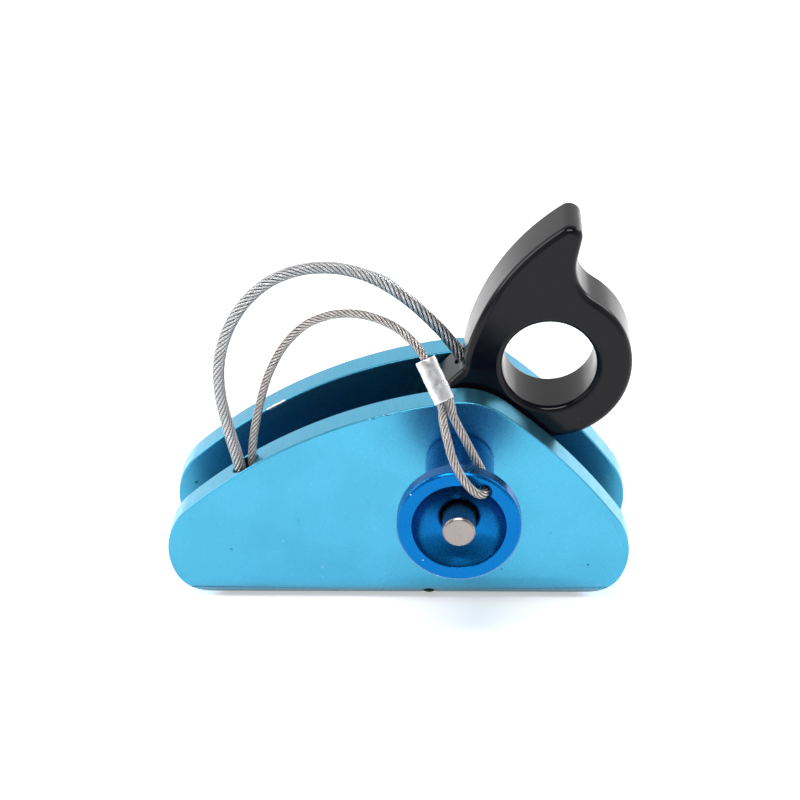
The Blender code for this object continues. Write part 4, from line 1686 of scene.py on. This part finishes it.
@dataclass
class Ferrule:
    """Oval crimp sleeve on the pin's tether."""

    top: Place = (6.4, -30.3, 68.3)
    foot: Place = (10.6, -34.3, 60.2)
    width: float = 4.4
    thickness: float = 3.0
    gap: float = 0.3
    wall: float = 0.42
    recess: float = 0.9
    edge_round: float = 0.24
    sides: int = 48
    rings: int = 13

    def build(self, finishes: Finishes) -> None:
        """Model the ferrule and put it on the pin's body."""
        top, foot = Vector(self.top), Vector(self.foot)
        down = (foot - top).normalized()
        wide = Vector((1, 0, 0))
        wide = (wide - down * wide.dot(down)).normalized()
        depth = down.cross(wide)
        middle = (top + foot) / 2
        plane = DrawingPlane(tuple(middle), tuple(wide), tuple(depth))
        length = (foot - top).length - 2 * self.gap
        turns = [2 * math.pi * i / self.sides for i in range(1, self.sides + 1)]
        pen = Pen("tether_ferrule_looks", plane, (self.width / 2, 0.0))
        pen.line(*[(self.width / 2 * math.cos(t), self.thickness / 2 * math.sin(t)) for t in turns])
        ferrule = pen.plate(length)
        self.hollow_ends(ferrule, plane.normal(), length, middle)
        soften(ferrule, self.edge_round, 4, 50.0)
        self.crimp(ferrule, middle * MM, down, length)
        shade(ferrule, 40.0)
        coat(ferrule, finishes.bare)
        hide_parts("tether_ferrule")
        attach(ferrule, "pin")
        log.info("ferrule: %d faces", len(ferrule.data.polygons))

    def hollow_ends(
        self, ferrule: bpy.types.Object, along: Vector, length: float, middle: Vector
    ) -> None:
        """Sink a recess in each end face, where the wires come out.

        Args:
            ferrule: The solid sleeve.
            along: Its direction.
            length: Its length, in millimetres.
            middle: Its middle, in millimetres.
        """
        for sign in (1, -1):
            edit(ferrule)
            bpy.ops.mesh.select_mode(type="FACE")
            bpy.ops.mesh.select_all(action="DESELECT")
            put_down()
            for face in ferrule.data.polygons:
                height = (face.center - middle * MM).dot(along) * sign
                at_end = height > (length / 2 - 0.01) * MM
                face.select = face.normal.dot(along) * sign > 0.9 and at_end
            bpy.ops.object.mode_set(mode="EDIT")
            bpy.ops.mesh.inset(thickness=self.wall * MM)
            inwards = along * (-self.recess * sign * MM)
            bpy.ops.mesh.extrude_region_move(TRANSFORM_OT_translate={"value": inwards})
            put_down()

    def crimp(self, ferrule: bpy.types.Object, middle: Vector, down: Vector, length: float) -> None:
        """Add rings along the sleeve and squeeze them a little unevenly.

        Args:
            ferrule: The sleeve.
            middle: Its middle, in metres.
            down: Its direction.
            length: Its length, in millimetres.
        """
        for cut in range(1, self.rings + 1):
            share = cut / (self.rings + 1) - 0.5
            edit(ferrule)
            bpy.ops.mesh.bisect(plane_co=middle + down * (share * length * 0.9 * MM), plane_no=down)
            put_down()
        for vertex in ferrule.data.vertices:
            offset = vertex.co - middle
            height = offset.dot(down)
            out = offset - down * height
            run = height / MM
            squeeze = 0.018 * math.sin(run * 2.3) + 0.014 * math.sin(run * 5.1 + out.x / MM * 2.0)
            ends = 1.0 if abs(run) < length * 0.44 else 0.0
            vertex.co -= out * (squeeze * ends + 0.012)


@dataclass
class BaseScrew:
    """Socket set screw in the front cheek's base."""

    place: Point = (6.6, -12.15)
    foot: float = 2.0
    length: float = 6.0
    radius: float = 1.8
    socket: float = 1.15
    socket_depth: float = 2.0
    chamfer: float = 0.35
    pitch: float = 0.5
    thread_depth: float = 0.2

    def build(self, finishes: Finishes) -> None:
        """Model the screw and put it on the shell."""
        x, y = self.place
        plane = DrawingPlane((x, y, 0), (1, 0, 0), (0, 0, 1))
        pen = Pen("base_set_screw_looks", plane, (0.0, self.foot))
        pen.line((self.radius - self.chamfer, self.foot), (self.radius, self.foot + self.chamfer))
        turns = int((self.length - 0.9) / self.pitch)
        for i in range(turns):
            base = self.foot + 0.4 + i * self.pitch
            pen.line((self.radius, base), (self.radius - self.thread_depth, base + self.pitch / 2))
        top = self.foot + self.length
        pen.line((self.radius, top - 0.4), (self.radius - self.chamfer, top), (0.0, top))
        screw = pen.turn(64)
        deep = self.foot + self.socket_depth
        carve(screw, drill("hex", self.socket, (x, y, 0.0), (x, y, deep), 6))
        shade(screw)
        coat(screw, finishes.oxide)
        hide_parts("base_set_screw")
        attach(screw, "shell")
        log.info("base set screw: %d faces", len(screw.data.polygons))


def dress_inner_parts(finishes: Finishes) -> None:
    """Give the CAD parts that stay their finishes."""
    kept = {
        "cam_bush": finishes.bronze,
        "cam_tether_stop": finishes.bare,
        "tether_anchor_plug": finishes.bare,
        "button_spring": finishes.steel,
        "spindle": finishes.steel,
    }
    for node, material in kept.items():
        coat(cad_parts[node], material)
        log.info("%s keeps its CAD shape", node)


# ---- studio --------------------------------------------------------------------------------


@dataclass(frozen=True)
class Softbox:
    """A large soft lamp: its place and size in metres and its power in watts."""

    name: str
    place: Place
    size: Point
    power: float
    aim: Place = (0.0, 0.0, 0.04)

    def hang(self) -> None:
        """Add the lamp, turned towards what it is aimed at."""
        bpy.ops.object.light_add(type="AREA", location=self.place)
        lamp = bpy.context.object
        lamp.name = f"{self.name}_softbox"
        lamp.data.shape = "RECTANGLE"
        lamp.data.size, lamp.data.size_y = self.size
        lamp.data.energy = self.power
        towards = Vector(self.aim) - Vector(self.place)
        lamp.rotation_euler = towards.to_track_quat("-Z", "Y").to_euler()


SOFTBOXES = (
    Softbox("key", (-0.1, -0.62, 1.05), (0.8, 0.30), 9.0),
    Softbox("fill", (-1.3, 0.1, 0.8), (0.6, 0.9), 9.0),
    Softbox("rim", (1.2, 0.7, 0.8), (0.6, 0.7), 8.0),
)


@dataclass
class Studio:
    """Camera, pale floor and soft light.

    back is the direction from target to the camera. The surround fades from the first to the
    second of sky_strengths as a direction nears dim_towards, between the cosines dim_from.
    """

    target: Place = (0.879, -15.3, 50.67)
    back: Place = (0.0285, -0.8815, 0.4714)
    distance: float = 543.25
    azimuth: float = 1.854
    roll: float = -0.799
    lens: float = 116.39
    floor_size_m: float = 14.0
    floor_glow: float = 0.45
    dim_towards: Place = (0.0, -0.5, 0.866)
    dim_from: Point = (0.42, 0.95)
    sky_strengths: Point = (0.95, 0.16)

    def build(self) -> None:
        """Set up everything that isn't the object."""
        self.add_camera()
        self.add_floor()
        self.add_world()
        for softbox in SOFTBOXES:
            softbox.hang()
        bpy.context.scene.view_settings.view_transform = "Standard"

    def add_camera(self) -> None:
        """The camera: in front of the object, looking down on it through a long lens."""
        back = Vector(self.back).normalized()
        turn = math.radians(self.azimuth)
        right = Vector((math.cos(turn), math.sin(turn), 0.0))
        right = (right - back * right.dot(back)).normalized()
        up = back.cross(right)
        roll = math.radians(self.roll)
        across = right * math.cos(roll) + up * math.sin(roll)
        upright = up * math.cos(roll) - right * math.sin(roll)
        place = metres(*self.target) + back * (self.distance * MM)
        bpy.ops.object.camera_add()
        camera = bpy.context.object
        camera.name = "camera"
        turned = Matrix((across, upright, back)).transposed().to_4x4()
        camera.matrix_world = Matrix.Translation(place) @ turned
        camera.data.lens = self.lens
        camera.data.sensor_width = 36.0
        camera.data.clip_start = 0.01
        bpy.context.scene.camera = camera

    def add_floor(self) -> None:
        """A plain pale floor under the base."""
        bpy.ops.mesh.primitive_plane_add(size=self.floor_size_m, location=(0, 0, CAD_LOW.z))
        floor = bpy.context.object
        floor.name = "floor"
        graph = Graph("floor_paper")
        graph.feed(
            Base_Color=(0.93, 0.93, 0.93, 1.0),
            Roughness=0.9,
            Specular_IOR_Level=0.0,
            Emission_Color=(1.0, 1.0, 1.0, 1.0),
            Emission_Strength=self.floor_glow,
        )
        coat(floor, graph.material)

    def add_world(self) -> None:
        """A white surround that is dimmer over the camera."""
        world = bpy.data.worlds.new("surround")
        world.use_nodes = True
        tree = world.node_tree
        coords = tree.nodes.new("ShaderNodeTexCoord")
        towards = tree.nodes.new("ShaderNodeVectorMath")
        towards.operation = "DOT_PRODUCT"
        towards.inputs[1].default_value = self.dim_towards
        fall = tree.nodes.new("ShaderNodeMapRange")
        fall.interpolation_type = "SMOOTHSTEP"
        for socket, value in zip(fall.inputs[1:5], (*self.dim_from, *self.sky_strengths)):
            socket.default_value = value
        tree.links.new(coords.outputs["Generated"], towards.inputs[0])
        tree.links.new(towards.outputs["Value"], fall.inputs[0])
        tree.links.new(fall.outputs[0], tree.nodes["Background"].inputs["Strength"])
        tree.nodes["Background"].inputs["Color"].default_value = (1.0, 1.0, 1.0, 1.0)
        bpy.context.scene.world = world


def main() -> None:
    """Build the studio, then every piece in order."""
    logging.basicConfig(level=logging.INFO, format="%(name)s %(message)s", stream=sys.stdout)
    Studio().build()
    finishes = Finishes()
    build_tethers(finishes)
    Shell().build(finishes)
    Cam().build(finishes)
    PinKnob().build(finishes)
    PinShaft().build(finishes)
    PushButton().build(finishes)
    Ferrule().build(finishes)
    BaseScrew().build(finishes)
    dress_inner_parts(finishes)


if __name__ == "__main__":
    main()
